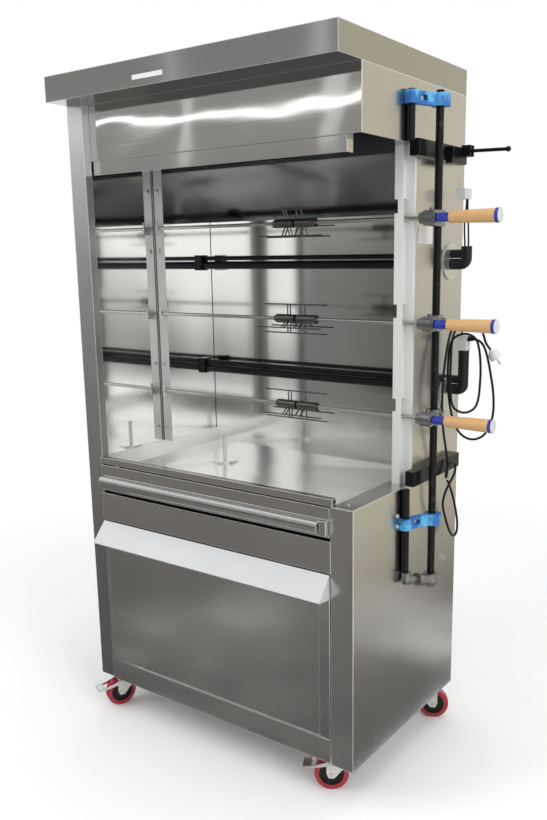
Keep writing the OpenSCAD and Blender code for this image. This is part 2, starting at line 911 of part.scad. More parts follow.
module rack_pipes() {
    color("black")
        placed() {
            bar_z(outer_x, outer_y, outer_span, pipe_d);
            bar_z(inner_x, inner_y, stub_low, pipe_d);
            bar_z(inner_x, inner_y, stub_high, pipe_d);
        }
}

clamp_out_d = 46;
clamp_in_d = 40;

// One clamp round both pipes, cut flat where it lies against the side panel.
module pipe_clamp(z) {
    span = [z - clamp_h / 2, z + clamp_h / 2];
    turn = atan2(outer_y - inner_y, outer_x - inner_x);
    reach = norm([outer_x - inner_x, outer_y - inner_y]);
    difference() {
        union() {
            bar_z(outer_x, outer_y, span, clamp_out_d);
            bar_z(inner_x, inner_y, span, clamp_in_d);
            translate([inner_x, inner_y, z - clamp_h / 2])
                rotate([0, 0, turn])
                    translate([0, -9, 0])
                        cube([reach, 18, clamp_h]);
            bar_z(outer_x + 15, outer_y + 16, span, 12);
        }
        bar_z(outer_x, outer_y, [span[0] - over, span[1] + over], pipe_d + 2 * fit_gap);
        bar_z(inner_x, inner_y, [span[0] - over, span[1] + over], pipe_d + 2 * fit_gap);
        translate([inner_x, inner_y, z])
            rotate([0, 0, turn])
                translate([pipe_d / 2 + 14, -20, -6])
                    cube([20, 40, 13]);
        slab([right_x - 40, right_x + fit_gap], [inner_y - 40, inner_y + 60], [span[0] - over, span[1] + over]);
    }
}

module pipe_clamps() {
    color("steelblue")
        placed() {
            pipe_clamp(clamp_top);
            pipe_clamp(clamp_low);
        }
}

elbow_d = 31;                   // of the elbow at the panel
elbow_wide = 44;                // of the outer elbow
nipple = [16, 38];              // bare pipe between the two elbows

module pipe_elbows() {
    ends = [[inner_x + 5, inner_y, link_z], [outer_x, outer_y, link_z - link_fall]];
    wide = [elbow_d, elbow_wide];
    way = ends[1] - ends[0];
    reach = norm(way);
    color("dimgray")
        placed() {
            for (i = [0, 1]) {
                translate(ends[i])
                    sphere(d = wide[i]);
                bar_z(ends[i][0], ends[i][1], [ends[i][2], ends[i][2] + collar - fit_gap], wide[i] - 3);
            }
            translate(ends[0])
                rotate([0, acos(way[2] / reach), atan2(way[1], way[0])]) {
                    cylinder(d = elbow_d - 2, h = nipple[0]);
                    cylinder(d = pipe_d, h = reach);
                    translate([0, 0, nipple[1]])
                        cylinder(d = elbow_wide - 5, h = collar);
                    translate([0, 0, nipple[1]])
                        cylinder(d = elbow_wide - 9, h = reach - nipple[1]);
                }
        }
}

boss_x = [right_x + 22, ferrule_x - 2];
boss_d = 30;
head_h = 42;
head_d = 40;

// A casting clamped on the outer pipe, with the bearing boss of one skewer.
module skewer_head(z) {
    difference() {
        union() {
            bar_x(boss_x, rod_y, z, boss_d);
            bar_x([boss_x[0] + 12, boss_x[1] - 4], rod_y, z, boss_d + 10);
            bar_z(outer_x, outer_y, [z - head_h / 2, z + head_h / 2], head_d);
            slab([outer_x - 14, outer_x + 14], [rod_y, outer_y], [z - 13, z + 15]);
            translate([outer_x - 26, outer_y + 2, z + 8])
                rotate([0, 90, 0])
                    cylinder(d = 14, h = 52);
            bar_z(outer_x, rod_y + 6, [z, z + head_h / 2 + 5], 12);
        }
        bar_x([boss_x[0] - over, boss_x[1] + over], rod_y, z, rod_d + 2 * run_gap);
        bar_z(outer_x, outer_y, [z - head_h, z + head_h], pipe_d + 2 * fit_gap);
    }
}

module skewer_heads() {
    color("gray")
        placed()
            for (z = rod_z)
                skewer_head(z);
}

// ---------------------------------------------------------------- skewers

ring_len = 9;
cap_len = 2;
wood_x = ferrule_x + ferrule_len + fit_gap;
ring_x = wood_x + grip_len + fit_gap;
cap_x = ring_x + ring_len + fit_gap;
rod_end = cap_x - 1;
point_len = 14;

// The rod starts in a point at its left end.
module skewer_rod(z) {
    color("silver")
        placed()
            translate([tip_x, rod_y, z])
                rotate([0, 90, 0]) {
                    cylinder(d1 = 1.5, d2 = rod_d, h = point_len);
                    translate([0, 0, point_len])
                        cylinder(d = rod_d, h = rod_end - tip_x - point_len);
                }
}

wire_turns = [90, 215, 270, 325];
bar_steps = [0.62, 0.76, 1.24, 1.48];

// Two hubs clamped on the rod carry wires that lie along it.
module prong_cage(z, turn) {
    color("dimgray")
        placed()
            difference() {
                translate([hub_x, rod_y, z])
                    rotate([turn, 0, 0]) {
                        for (s = [0, 1])
                            translate([s * (hub_len + 2), 0, 0])
                                rotate([0, 90, 0]) {
                                    cylinder(d1 = hub_d - 8, d2 = hub_d, h = 8);
                                    translate([0, 0, 8])
                                        cylinder(d = hub_d, h = hub_len - 8);
                                }
                        for (a = wire_turns) {
                            rotate([a, 0, 0])
                                translate([-40, cage_r, 0])
                                    rotate([0, 90, 0])
                                        cylinder(d = wire_d, h = 226, $fn = 12);
                            for (b = bar_steps)
                                rotate([a, 0, 0])
                                    translate([b * hub_len, hub_d / 2 - 2, 0])
                                        rotate([-90, 0, 0])
                                            cylinder(d = wire_d, h = cage_r - hub_d / 2 + 2, $fn = 12);
                        }
                    }
                bar_x([hub_x - 2, hub_x + 2 * hub_len + 4], rod_y, z, rod_d + 2 * fit_gap);
            }
}

// Ferrule, wooden grip, ring and end cap, threaded on the rod one after the other.
module skewer_handle(z) {
    placed()
        difference() {
            translate([ferrule_x, rod_y, z])
                rotate([0, 90, 0]) {
                    color("mediumblue")
                        cylinder(d = grip_d - 13, h = ferrule_len);
                    translate([0, 0, ferrule_len + fit_gap])
                        color("burlywood")
                            cylinder(d1 = grip_d - 6, d2 = grip_d, h = grip_len);
                    translate([0, 0, ring_x - ferrule_x])
                        color("mediumblue")
                            cylinder(d = grip_d + 1, h = ring_len);
                    translate([0, 0, cap_x - ferrule_x])
                        color("silver")
                            cylinder(d1 = grip_d, d2 = grip_d - 3, h = cap_len);
                }
            bar_x([ferrule_x - over, rod_end + fit_gap], rod_y, z, rod_d + 2 * fit_gap);
        }
}

module rod_low() skewer_rod(rod_z[0]);
module rod_mid() skewer_rod(rod_z[1]);
module rod_high() skewer_rod(rod_z[2]);
module prongs_low() prong_cage(rod_z[0], 4);
module prongs_mid() prong_cage(rod_z[1], 0);
module prongs_high() prong_cage(rod_z[2], 24);
module handle_low() skewer_handle(rod_z[0]);
module handle_mid() skewer_handle(rod_z[1]);
module handle_high() skewer_handle(rod_z[2]);

// ---------------------------------------------------------------- casters

wheel_r = wheel_d / 2;
pin_d2 = 10;                    // king pin
plate_h = 3;
plate_side = 58;
plate_z = base_z - plate_h;
crown_z = wheel_d + 3;          // under the fork crown
crown_t = 3;
race_d = 46;
leg_in = wheel_w / 2 + 1.5;
leg_out = leg_in + 3;
axle_d = 8;
pedal_in = leg_out + 0.8;
pedal_out = pedal_in + 3;
pedal_pin = [58, 84];           // pedal pivot: behind the swivel pin, above the floor
pedal_pin_d = 5;

// Corners: place, then the way the wheel trails.
front_left = [pin_in_x, pin_in_y, 246];
front_right = [cab_w - pin_in_x, pin_in_y, 211];
back_left = [pin_in_x, cab_d - pin_in_y, 30];
back_right = [cab_w - pin_in_x, cab_d - pin_in_y, 26];
corners = [front_left, front_right, back_left, back_right];

// Stands at a corner with +x along the trail.
module at_corner(c)
    placed()
        translate([c[0], c[1], 0])
            rotate([0, 0, c[2]])
                children();

module caster_plates() {
    color("silver")
        placed()
            for (c = corners) {
                slab([c[0] - plate_side / 2, c[0] + plate_side / 2], [c[1] - plate_side / 2,
                    c[1] + plate_side / 2], [plate_z, base_z]);
                bar_z(c[0], c[1], [crown_z - 1, plate_z + over], pin_d2);
            }
}

// One cheek of the fork, as (trail, height) points.
module fork_cheek()
    polygon([[-18, crown_z + crown_t], [52, crown_z + crown_t], [trail + 14, wheel_r + 4],
        [trail + 8, wheel_r - 11], [trail - 8, wheel_r - 11], [-18, crown_z - 6]]);

module caster_fork(c, brake) {
    color("silver")
        at_corner(c)
            difference() {
                union() {
                    slab([-18, 52], [-leg_out, leg_out], [crown_z, crown_z + crown_t]);
                    bar_z(0, 0, [crown_z, plate_z - run_gap], race_d);
                    along_y([leg_in, leg_out])
                        fork_cheek();
                    along_y([-leg_out, -leg_in])
                        fork_cheek();
                    translate([trail, leg_out + 3, wheel_r])
                        rotate([90, 0, 0])
                            cylinder(d = axle_d, h = 2 * leg_out + 6);
                    if (brake)
                        translate([pedal_pin[0] - 14, pedal_out + 1, pedal_pin[1]])
                            rotate([90, 0, 0])
                                cylinder(d = pedal_pin_d, h = pedal_out + 1 - leg_in);
                    if (brake)
                        translate([pedal_pin[0] - 14, -leg_in, pedal_pin[1]])
                            rotate([90, 0, 0])
                                cylinder(d = pedal_pin_d, h = pedal_out + 1 - leg_in);
                }
                bar_z(0, 0, [crown_z - over, plate_z], pin_d2 + 2 * run_gap);
            }
}

tread_t = 14;
dish = 4;                       // depth of the groove between tread and boss
boss_r = 12;

// A tread ring on a dished core that turns on the fork's axle.
module caster_wheel(c) {
    core_r = wheel_r - tread_t;
    at_corner(c)
        translate([trail, 0, wheel_r])
            rotate([90, 0, 0]) {
                color("crimson")
                    difference() {
                        union() {
                            translate([0, 0, -wheel_w / 2 + 3])
                                cylinder(r = wheel_r, h = wheel_w - 6, $fn = 64);
                            for (s = [0, 1])
                                mirror([0, 0, s])
                                    translate([0, 0, wheel_w / 2 - 3])
                                        cylinder(r1 = wheel_r, r2 = wheel_r - 3, h = 3, $fn = 64);
                        }
                        translate([0, 0, -wheel_w])
                            cylinder(r = core_r + fit_gap, h = 2 * wheel_w);
                    }
                color("black")
                    difference() {
                        translate([0, 0, -wheel_w / 2 + 1])
                            cylinder(r = core_r, h = wheel_w - 2);
                        for (s = [0, 1])
                            mirror([0, 0, s])
                                translate([0, 0, wheel_w / 2 - dish])
                                    difference() {
                                        cylinder(r = core_r - 5, h = dish + over);
                                        translate([0, 0, -over])
                                            cylinder(r = boss_r, h = dish + 3 * over);
                                    }
                        translate([0, 0, -wheel_w])
                            cylinder(d = axle_d + 2 * run_gap, h = 2 * wheel_w);
                    }
            }
}

module brake_pedal(c) {
    x = pedal_pin[0] - 14;
    z = pedal_pin[1];
    color("silver")
        at_corner(c) {
            for (s = [0, 1])
                mirror([0, s, 0])
                    difference() {
                        along_y([pedal_in, pedal_out])
                            polygon([[x - 7, z - 6], [x + 6, z - 7], [96, z - 14], [118, z - 12], [118, z - 8],
                                [90, z - 6], [x + 4, z + 7], [x - 7, z + 6]]);
                        translate([x, pedal_out + over, z])
                            rotate([90, 0, 0])
                                cylinder(d = pedal_pin_d + 2 * run_gap, h = 5 + 2 * over);
                    }
            slab([94, 118], [-pedal_out, pedal_out], [z - 12, z - 8]);
        }
}

module fork_front_left() caster_fork(front_left, true);
module fork_front_right() caster_fork(front_right, true);
module fork_back_left() caster_fork(back_left, false);
module fork_back_right() caster_fork(back_right, false);
module wheel_front_left() caster_wheel(front_left);
module wheel_front_right() caster_wheel(front_right);
module wheel_back_left() caster_wheel(back_left);
module wheel_back_right() caster_wheel(back_right);
module brake_pedal_left() brake_pedal(front_left);
module brake_pedal_right() brake_pedal(front_right);

left_side_panel();
right_side_panel();
back_panel();
base_pan();
canopy_cap();
hood_front();
ceiling_baffle();
fascia_beam();
cavity_liner();
slotted_post();
tip_support();
hearth_basin();
drain_pipe();
front_rail();
side_ledge();
lower_post();
middle_fascia();
drawer_runners();
panel_bolts();
blank_plates();
tray_pan();
tray_front();
drawer_box();
drawer_front();
drawer_flap();
heater_tubes();
heater_mounts();
heater_boots();
heater_connectors();
heater_leads();
supply_cord();
supply_plug();
spare_cord();
side_rails();
lock_block();
lock_lever();
rack_pipes();
pipe_clamps();
pipe_elbows();
skewer_heads();
rod_low();
prongs_low();
handle_low();
rod_mid();
prongs_mid();
handle_mid();
rod_high();
prongs_high();
handle_high();
caster_plates();
fork_front_left();
fork_front_right();
fork_back_left();
fork_back_right();
wheel_front_left();
wheel_front_right();
wheel_back_left();
wheel_back_right();
brake_pedal_left();
brake_pedal_right();
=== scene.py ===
# %% [markdown]
# # An electric skewer grill, dressed in Blender
# The grill is a tall cabinet of folded stainless sheet. Three skewers turn in front of black
# heater tubes, a drip tray and a drawer slide under them, and a rack of black pipe carries the
# drives on the right. Its solids arrive as a fixed frame in metres, so this lesson never moves
# them. It gives each solid the finish of the real piece, and makes the small soft or fine
# pieces, such as the cords, that a construction model only blocks in.

import math

import bpy
from mathutils import Matrix, Vector


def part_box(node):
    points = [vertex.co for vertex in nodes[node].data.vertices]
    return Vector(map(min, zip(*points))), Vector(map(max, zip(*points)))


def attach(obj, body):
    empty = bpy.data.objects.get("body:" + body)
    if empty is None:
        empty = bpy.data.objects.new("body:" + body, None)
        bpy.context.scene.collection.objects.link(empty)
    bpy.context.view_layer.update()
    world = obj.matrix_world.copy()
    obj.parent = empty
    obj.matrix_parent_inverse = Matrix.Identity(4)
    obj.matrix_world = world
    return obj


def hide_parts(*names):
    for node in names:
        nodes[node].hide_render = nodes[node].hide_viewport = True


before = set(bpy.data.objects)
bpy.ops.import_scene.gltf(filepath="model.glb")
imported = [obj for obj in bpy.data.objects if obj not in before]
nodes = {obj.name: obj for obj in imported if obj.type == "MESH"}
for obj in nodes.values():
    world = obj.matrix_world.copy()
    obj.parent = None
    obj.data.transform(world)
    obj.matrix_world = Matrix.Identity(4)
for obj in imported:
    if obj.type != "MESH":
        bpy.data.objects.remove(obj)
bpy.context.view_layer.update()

# %% [markdown]
# ## One ruler for the whole lesson
# The cabinet was drawn in millimetres from its front left corner on the floor. The frame is in
# metres from the middle of the whole object. One helper turns the first kind of place into the
# second, so that a bolt or a cord can be written down as it would be measured on the real
# cabinet. Its two numbers come from the solids: the left panel gives the corner, the back panel
# the depth.

# %% From cabinet millimetres to frame metres
CABINET_DEPTH = 610
MIDDLE_X = -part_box("left_side_panel")[0].x * 1000
MIDDLE_Y = CABINET_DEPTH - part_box("back_panel")[1].y * 1000


def place(x, y, z):
    """A point in millimetres from the cabinet's front left corner, put in the frame's metres."""
    return Vector(((x - MIDDLE_X) / 1000, (y - MIDDLE_Y) / 1000, z / 1000))


print("cabinet corner:", [round(v, 4) for v in place(0, 0, 0)])

# %% [markdown]
# ## The camera
# A camera can be guessed by eye or solved from measured corners. This one was solved: it stands
# to the right and a little above the middle of the grill, turned 35 degrees and tipped down by
# 12. The lens is given for the long side of the picture, and the small shift stands for the way
# the photograph was cropped.

# %% Set the camera
PICTURE_W, PICTURE_H = 547, 820
EYE = place(2062.6, -1718.6, 1475.3)
YAW, PITCH, ROLL = 35.262, -11.573, -0.646
FOCUS_PIXELS, CENTRE_U, CENTRE_V = 833.9, 302.7, 428.3
SENSOR, FARTHEST = 36, 60

lens = bpy.data.cameras.new("photo_camera")
lens.sensor_fit = "AUTO"
lens.sensor_width = SENSOR
lens.lens = FOCUS_PIXELS / PICTURE_H * SENSOR
lens.shift_x = (PICTURE_W / 2 - CENTRE_U) / PICTURE_H
lens.shift_y = (CENTRE_V - PICTURE_H / 2) / PICTURE_H
lens.clip_end = FARTHEST
camera = bpy.data.objects.new("photo_camera", lens)
turn = (
    Matrix.Rotation(math.radians(YAW), 4, "Z")
    @ Matrix.Rotation(math.radians(90 + PITCH), 4, "X")
    @ Matrix.Rotation(math.radians(ROLL), 4, "Z")
)
camera.matrix_world = Matrix.Translation(EYE) @ turn
bpy.context.scene.collection.objects.link(camera)
bpy.context.scene.camera = camera
print("camera:", round(lens.lens, 2), "mm, shift", round(lens.shift_x, 3), round(lens.shift_y, 3))

# %% [markdown]
# ## The cords
# A cord is a fixed length of something bendy, so each one is a smooth curve through points along
# its route, given the cord's own thickness. Two thin leads feed the upper heater connector. The
# supply cord leaves the lower connector, hangs in two loops and ends in its plug. A spare cord
# has a knot in front of the lower rail, and a long loop hangs below it. The knot is drawn simply,
# as one open turn, and the cord's end stops a little short of it.

# %% The routes, in cabinet millimetres
CORD_D, LEAD_D = 0.007, 0.005
FRONT_LEAD = [(1057, 525, 1502), (1057, 525, 1514), (1057, 522, 1550), (1055, 520, 1590),
              (1054, 520, 1616), (1054, 520, 1630)]
BACK_LEAD = [(1042, 534, 1502), (1042, 534, 1514), (1040, 533, 1550), (1043, 530, 1590),
             (1046, 530, 1616), (1046, 530, 1630)]
SUPPLY = [(1063, 531, 1240), (1076, 531, 1240), (1090, 534, 1237), (1102, 539, 1227),
          (1110, 544, 1209), (1116, 552, 1180), (1122, 561, 1136), (1128, 568, 1088),
          (1130, 571, 1034), (1125, 567, 992), (1109, 556, 956), (1085, 540, 943),
          (1061, 522, 952), (1043, 506, 980), (1031, 496, 1024), (1024, 489, 1080),
          (1021, 487, 1140), (1024, 489, 1214), (1034, 495, 1243), (1061, 509, 1256),
          (1087, 521, 1244), (1098, 527, 1214), (1101, 535, 1160), (1100, 537, 1110),
          (1097, 535, 1066), (1088, 528, 1038), (1066, 511, 1026), (1043, 493, 1038),
          (1034, 486, 1066), (1032, 482, 1120), (1033, 480, 1180), (1036, 481, 1240),
          (1048, 487, 1276), (1075, 502, 1292), (1101, 517, 1279), (1112, 525, 1251),
          (1118, 529, 1230), (1130, 535, 1211)]
SPARE = [(1042, 530, 1250), (1042, 530, 1260), (1042, 526, 1276), (1040, 514, 1288),
         (1037, 497, 1287), (1035, 480, 1273), (1034, 463, 1245), (1034, 446, 1203),
         (1034, 433, 1147), (1034, 427, 1087), (1034, 429, 1031), (1034, 438, 985),
         (1034, 452, 942), (1034, 466, 904), (1035, 471, 880), (1037, 467, 858), (1041, 454, 843),
         (1046, 438, 844), (1051, 428, 859), (1055, 432, 878), (1057, 447, 889), (1058, 464, 886),
         (1058, 476, 870), (1055, 475, 848), (1049, 464, 827), (1042, 453, 804), (1037, 446, 780),
         (1034, 447, 754), (1034, 464, 716), (1034, 486, 678), (1034, 508, 650), (1034, 529, 638),
         (1034, 546, 644), (1034, 552, 664), (1034, 545, 698), (1034, 527, 742), (1034, 508, 778),
         (1034, 488, 808), (1034, 474, 824)]


def run_length(route):
    """The length of a route in metres, along its straight steps."""
    points = [place(*p) for p in route]
    return sum((b - a).length for a, b in zip(points, points[1:]))


print("supply", round(run_length(SUPPLY), 3), "spare", round(run_length(SPARE), 3), "m")

# %% [markdown]
# A polyline of those points shows corners. A Bezier spline goes through the same points in one
# smooth sweep if each point's two handles lie along the line between its neighbours, a third of
# the way to each. A bevel one metre deep, scaled by each point's radius, gives the jacket its
# thickness.

# %% Lay one cord


def lay_cord(name, route, diameter, node):
    """A smooth round cord along a route, riding on the cabinet in place of a solid."""
    curve = bpy.data.curves.new(name, "CURVE")
    curve.dimensions = "3D"
    curve.bevel_depth = 1.0
    curve.bevel_resolution = 4
    curve.resolution_u = 8
    curve.use_fill_caps = True
    spline = curve.splines.new("BEZIER")
    spline.bezier_points.add(len(route) - 1)
    points = [place(*point) for point in route]
    for i, knot in enumerate(spline.bezier_points):
        before, after = points[max(i - 1, 0)], points[min(i + 1, len(points) - 1)]
        way = (after - before).normalized()
        knot.handle_left_type = knot.handle_right_type = "FREE"
        knot.co = points[i]
        knot.radius = diameter / 2
        knot.handle_left = points[i] - way * (points[i] - before).length / 3
        knot.handle_right = points[i] + way * (after - points[i]).length / 3
    cord = bpy.data.objects.new(name, curve)
    bpy.context.scene.collection.objects.link(cord)
    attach(cord, "cabinet")
    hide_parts(node)
    print(name, len(route), "points")
    return cord


supply = lay_cord("supply_flex", SUPPLY, CORD_D, "supply_cord")
spare = lay_cord("spare_flex", SPARE, CORD_D, "spare_cord")
front_lead = lay_cord("front_heater_lead", FRONT_LEAD, LEAD_D, "heater_leads")
back_lead = lay_cord("back_heater_lead", BACK_LEAD, LEAD_D, "heater_leads")

# %% [markdown]
# Each route's first point, where the cord leaves the grill, is then put in frame metres.

place(*SUPPLY[0])
place(*SPARE[0])
for lead, route in ((front_lead, FRONT_LEAD), (back_lead, BACK_LEAD)):
    place(*route[0])

# %% [markdown]
# Where the supply cord leaves its terminal block, a tapered sleeve with ribs keeps it from being
# bent sharply. It is turned from a short profile: a collar, five ribs that shrink with the
# taper, and a thin lip round the cord.

# %% Turn the strain relief
RELIEF_LENGTH, RELIEF_RIBS, RELIEF_SIDES = 0.024, 5, 32
COLLAR_R, LIP_R, LIP_CHAMFER = 0.0078, 0.0048, 0.0006
COLLAR_FROM, COLLAR_TO, FIRST_RIB, LAST_GAP = -0.001, 0.004, 0.005, 0.002
RIB_HALF_TOP, RIB_HALF_FOOT, RIB_RISE = 0.0006, 0.0012, 0.0009


def turned_sleeve(name, start, way, profile):
    """A piece turned about a line: profile lists (distance along, radius) pairs."""
    across = way.orthogonal().normalized()
    beside = way.cross(across)
    mesh = bpy.data.meshes.new(name)
    rings = [[start + way * along + radius * (math.cos(turn) * across + math.sin(turn) * beside)
              for turn in (math.tau * k / RELIEF_SIDES for k in range(RELIEF_SIDES))]
             for along, radius in profile]
    faces = [(i * RELIEF_SIDES + k, i * RELIEF_SIDES + (k + 1) % RELIEF_SIDES,
              (i + 1) * RELIEF_SIDES + (k + 1) % RELIEF_SIDES, (i + 1) * RELIEF_SIDES + k)
             for i in range(len(profile) - 1) for k in range(RELIEF_SIDES)]
    ends = [tuple(range(RELIEF_SIDES))[::-1],
            tuple((len(profile) - 1) * RELIEF_SIDES + k for k in range(RELIEF_SIDES))]
    mesh.from_pydata([point for ring in rings for point in ring], [], faces + ends)
    mesh.shade_smooth()
    sleeve = bpy.data.objects.new(name, mesh)
    bpy.context.scene.collection.objects.link(sleeve)
    return sleeve


def relief_profile():
    """Collar, ribs and lip of the sleeve, as (distance along, radius) pairs."""
    steps = [(COLLAR_FROM, COLLAR_R), (COLLAR_TO, COLLAR_R)]
    for rib in range(RELIEF_RIBS):
        share = (rib + 0.5) / RELIEF_RIBS
        radius = COLLAR_R + (LIP_R - COLLAR_R) * share
        middle = FIRST_RIB + (RELIEF_LENGTH - FIRST_RIB - LAST_GAP) * share
        steps += [(middle - RIB_HALF_FOOT, radius - RIB_RISE), (middle - RIB_HALF_TOP, radius),
                  (middle + RIB_HALF_TOP, radius), (middle + RIB_HALF_FOOT, radius - RIB_RISE)]
    return steps + [(RELIEF_LENGTH - LAST_GAP / 2, LIP_R), (RELIEF_LENGTH, LIP_R - LIP_CHAMFER)]


relief = turned_sleeve("supply_strain_relief", place(*SUPPLY[0]),
                       (place(*SUPPLY[1]) - place(*SUPPLY[0])).normalized(), relief_profile())
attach(relief, "cabinet")
print("strain relief:", len(relief.data.polygons), "faces")

# %% [markdown]
# ## Shader maths as plain arithmetic
# A material is a net of small nodes, and writing each link out hides the idea. A wrapped socket
# that knows plus, minus, times, divide and power lets a mask read like a formula. Everything
# else comes from one method, which makes a node, puts in its settings and then fills its
# sockets.

# %% A socket that can be added and multiplied


class Grade:
    """One number that changes over a surface, such as a mask or the height of a grain."""

    def __init__(self, finish, socket):
        self.finish, self.socket = finish, socket

    def _math(self, operation, *values, clamp=False):
        made = self.finish.node("ShaderNodeMath", {"operation": operation, "use_clamp": clamp},
                                dict(enumerate(values)))
        return Grade(self.finish, made.outputs[0])

    def __add__(self, other):
        return self._math("ADD", self, other)

    __radd__ = __add__

    def __sub__(self, other):
        return self._math("SUBTRACT", self, other)

    def __rsub__(self, other):
        return self._math("SUBTRACT", other, self)

    def __mul__(self, other):
        return self._math("MULTIPLY", self, other)

    __rmul__ = __mul__

    def __truediv__(self, other):
        return self._math("DIVIDE", self, other)

    def __pow__(self, other):
        return self._math("POWER", self, other)

    def size(self):
        """The same value without its sign."""
        return self._math("ABSOLUTE", self)

    def fraction(self):
        """The part behind the decimal point, which starts again at each whole number."""
        return self._math("FRACT", self)

    def held(self):
        """The same value, kept between 0 and 1."""
        return self._math("ADD", self, 0.0, clamp=True)


# %% A finish, and the one method that makes its nodes
BEVEL_SAMPLES = 4
FOLD_CONTRAST = 8  # how steeply a fold's mask rises where the rounded normal turns away


class Finish:
    """A material under construction: one shader, and helpers for what feeds it."""

    def __init__(self, name, **shader_values):
        self.material = bpy.data.materials.new(name)
        self.material.use_nodes = True
        self.net = self.material.node_tree
        self.net.nodes.clear()
        self.shader = self.node("ShaderNodeBsdfPrincipled", {}, shader_values)
        self.end = self.node("ShaderNodeOutputMaterial", {}, {"Surface": self.shader.outputs[0]})
        self.spot = self.node("ShaderNodeTexCoord").outputs["Object"]

    def node(self, kind, settings=None, sockets=None):
        """Makes a node from its kind, its settings and what its sockets hold."""
        made = self.net.nodes.new(kind)
        for key, value in (settings or {}).items():
            setattr(made, key, value)
        for key, value in (sockets or {}).items():
            self.fill(made.inputs[key], value)
        return made

    def fill(self, socket, value):
        """Puts a number, a colour or a link into a socket."""
        if isinstance(value, Grade):
            value = value.socket
        if isinstance(value, bpy.types.NodeSocket):
            self.net.links.new(value, socket)
        elif isinstance(value, tuple) and len(value) == 3 and socket.type == "RGBA":
            socket.default_value = (*value, 1)
        else:
            socket.default_value = value

    def set(self, **values):
        """Feeds the shader, with words joined by _ standing for a socket's name."""
        for key, value in values.items():
            self.fill(self.shader.inputs[key.replace("_", " ").title()], value)

    def axis(self, letter):
        """How far along x, y or z a point lies, in metres of the frame."""
        parts = self.node("ShaderNodeSeparateXYZ", {}, {0: self.spot})
        return Grade(self, parts.outputs["XYZ".index(letter.upper())])

    def noise(self, scale, detail=2.0, shift=0.0):
        """Cloudy variation round 0.5. A scale of three numbers stretches it along an axis.

        shift picks another part of the same endless cloud, so that finishes don't repeat."""
        if isinstance(scale, (int, float)):
            scale = (scale,) * 3
        spread = self.node("ShaderNodeVectorMath", {"operation": "MULTIPLY_ADD"},
                           {0: self.spot, 1: scale, 2: (shift, shift * 0.7, shift * 1.3)})
        cloud = self.node("ShaderNodeTexNoise", {},
                          {"Vector": spread.outputs[0], "Scale": 1.0, "Detail": detail})
        return Grade(self, cloud.outputs["Fac"])

    def between(self, value, low, high):
        """A soft step that is 0 below low and 1 above high."""
        made = self.node("ShaderNodeMapRange", {"interpolation_type": "SMOOTHSTEP"},
                         {"Value": value, "From Min": low, "From Max": high})
        return Grade(self, made.outputs[0])

    def mix(self, first, second, mask):
        """Two colours mixed by a mask."""
        made = self.node("ShaderNodeMix", {"data_type": "RGBA"}, {0: mask, 6: first, 7: second})
        return made.outputs[2]

    def bump(self, height, distance, onto):
        """A relief on a normal, distance metres high where height goes from 0 to 1."""
        made = self.node("ShaderNodeBump", {},
                         {"Height": height, "Distance": distance, "Strength": 1.0, "Normal": onto})
        return made.outputs[0]

    def rounded(self, radius):
        """A normal that rolls over each edge, as a fold in sheet does."""
        made = self.node("ShaderNodeBevel", {"samples": BEVEL_SAMPLES}, {"Radius": radius})
        return made.outputs[0]

    def folds(self, radius):
        """A mask that is 1 on the edges, where the rounded normal leaves the flat one."""
        flat = self.node("ShaderNodeNewGeometry").outputs["Normal"]
        agree = self.node("ShaderNodeVectorMath", {"operation": "DOT_PRODUCT"},
                          {0: flat, 1: self.rounded(radius)})
        return ((1 - Grade(self, agree.outputs["Value"])) * FOLD_CONTRAST).held()


def dress(finish, *names):
    """Gives nodes or pieces a finish over their whole surface."""
    for name in names:
        piece = nodes[name] if isinstance(name, str) else name
        piece.data.materials.clear()
        piece.data.materials.append(finish.material)


print("shader helpers ready")

# %% [markdown]
# ## Brushed stainless sheet
# The cabinet is rolled stainless sheet, brushed in one direction. Three things make it read as
# sheet: fine lines along the brushing, soft waves where a wide panel isn't quite flat, and a
# painted highlight, a bright thin line where it is folded. The lines and waves are height for a
# bump, and cleaning smears change only the roughness. A fold is a rounded normal with a pale
# painted highlight in its colour. It is also a little less of a mirror than the sheet, so that it
# catches the lamps.

# %% Make a brushed finish
GRAIN = {"x": (2, 700, 700), "z": (700, 700, 2)}  # noise per metre: coarse along the brushing
SCRATCH_HEIGHT, FOLD_RADIUS = 0.000004, 0.003
# the pale tone is a painted highlight on the folds; FOLD_SATIN is how much less metal a fold is
PAINTED_FOLD_HIGHLIGHT, FOLD_SATIN = (0.95, 0.95, 0.94), 0.45
DULLED = 0.9  # the darker of a sheet's two tones, beside the lighter
FOOT_Z, HEAD_Z = 0.3, 2.0


def scaled(tone, share):
    """A tone made darker by a share."""
    return tuple(part * share for part in tone)


def brushed_sheet(name, tone, grain, rough, wave, shift, metal=1.0, foot=1.0, wave_scale=3.2):
    """Stainless sheet brushed along one axis. wave is the height of its waves in metres.

    foot is how bright its lower end is beside its upper one: painted shade that darkens the sheet
    toward the floor."""
    sheet = Finish(name)
    lines = sheet.noise(GRAIN[grain], detail=2, shift=shift)
    smears = sheet.noise(5, detail=5, shift=shift + 5)
    waves = sheet.noise(wave_scale, detail=1.2, shift=shift + 11)
    cloud = sheet.noise(1.7, detail=3, shift=shift + 23)
    skin = sheet.mix(scaled(tone, DULLED), tone, (lines * 0.7 + cloud * 0.6 - 0.15).held())
    # painted shade: the sheet is made darker toward its foot
    if foot < 1:
        up = sheet.between(sheet.axis("z"), FOOT_Z, HEAD_Z)
        skin = sheet.mix(scaled(tone, foot), skin, up)
    # the folds get a painted highlight: a pale tone mixed into the colour, and less metal
    edge = sheet.folds(FOLD_RADIUS)
    wavy = sheet.bump(waves, wave, onto=sheet.rounded(FOLD_RADIUS))
    sheet.set(base_color=sheet.mix(skin, PAINTED_FOLD_HIGHLIGHT, edge), metallic=metal - edge * FOLD_SATIN,
              roughness=(rough - 0.07 + lines * 0.08 + smears * 0.07).held(),
              normal=sheet.bump(lines, SCRATCH_HEIGHT, onto=wavy))
    return sheet


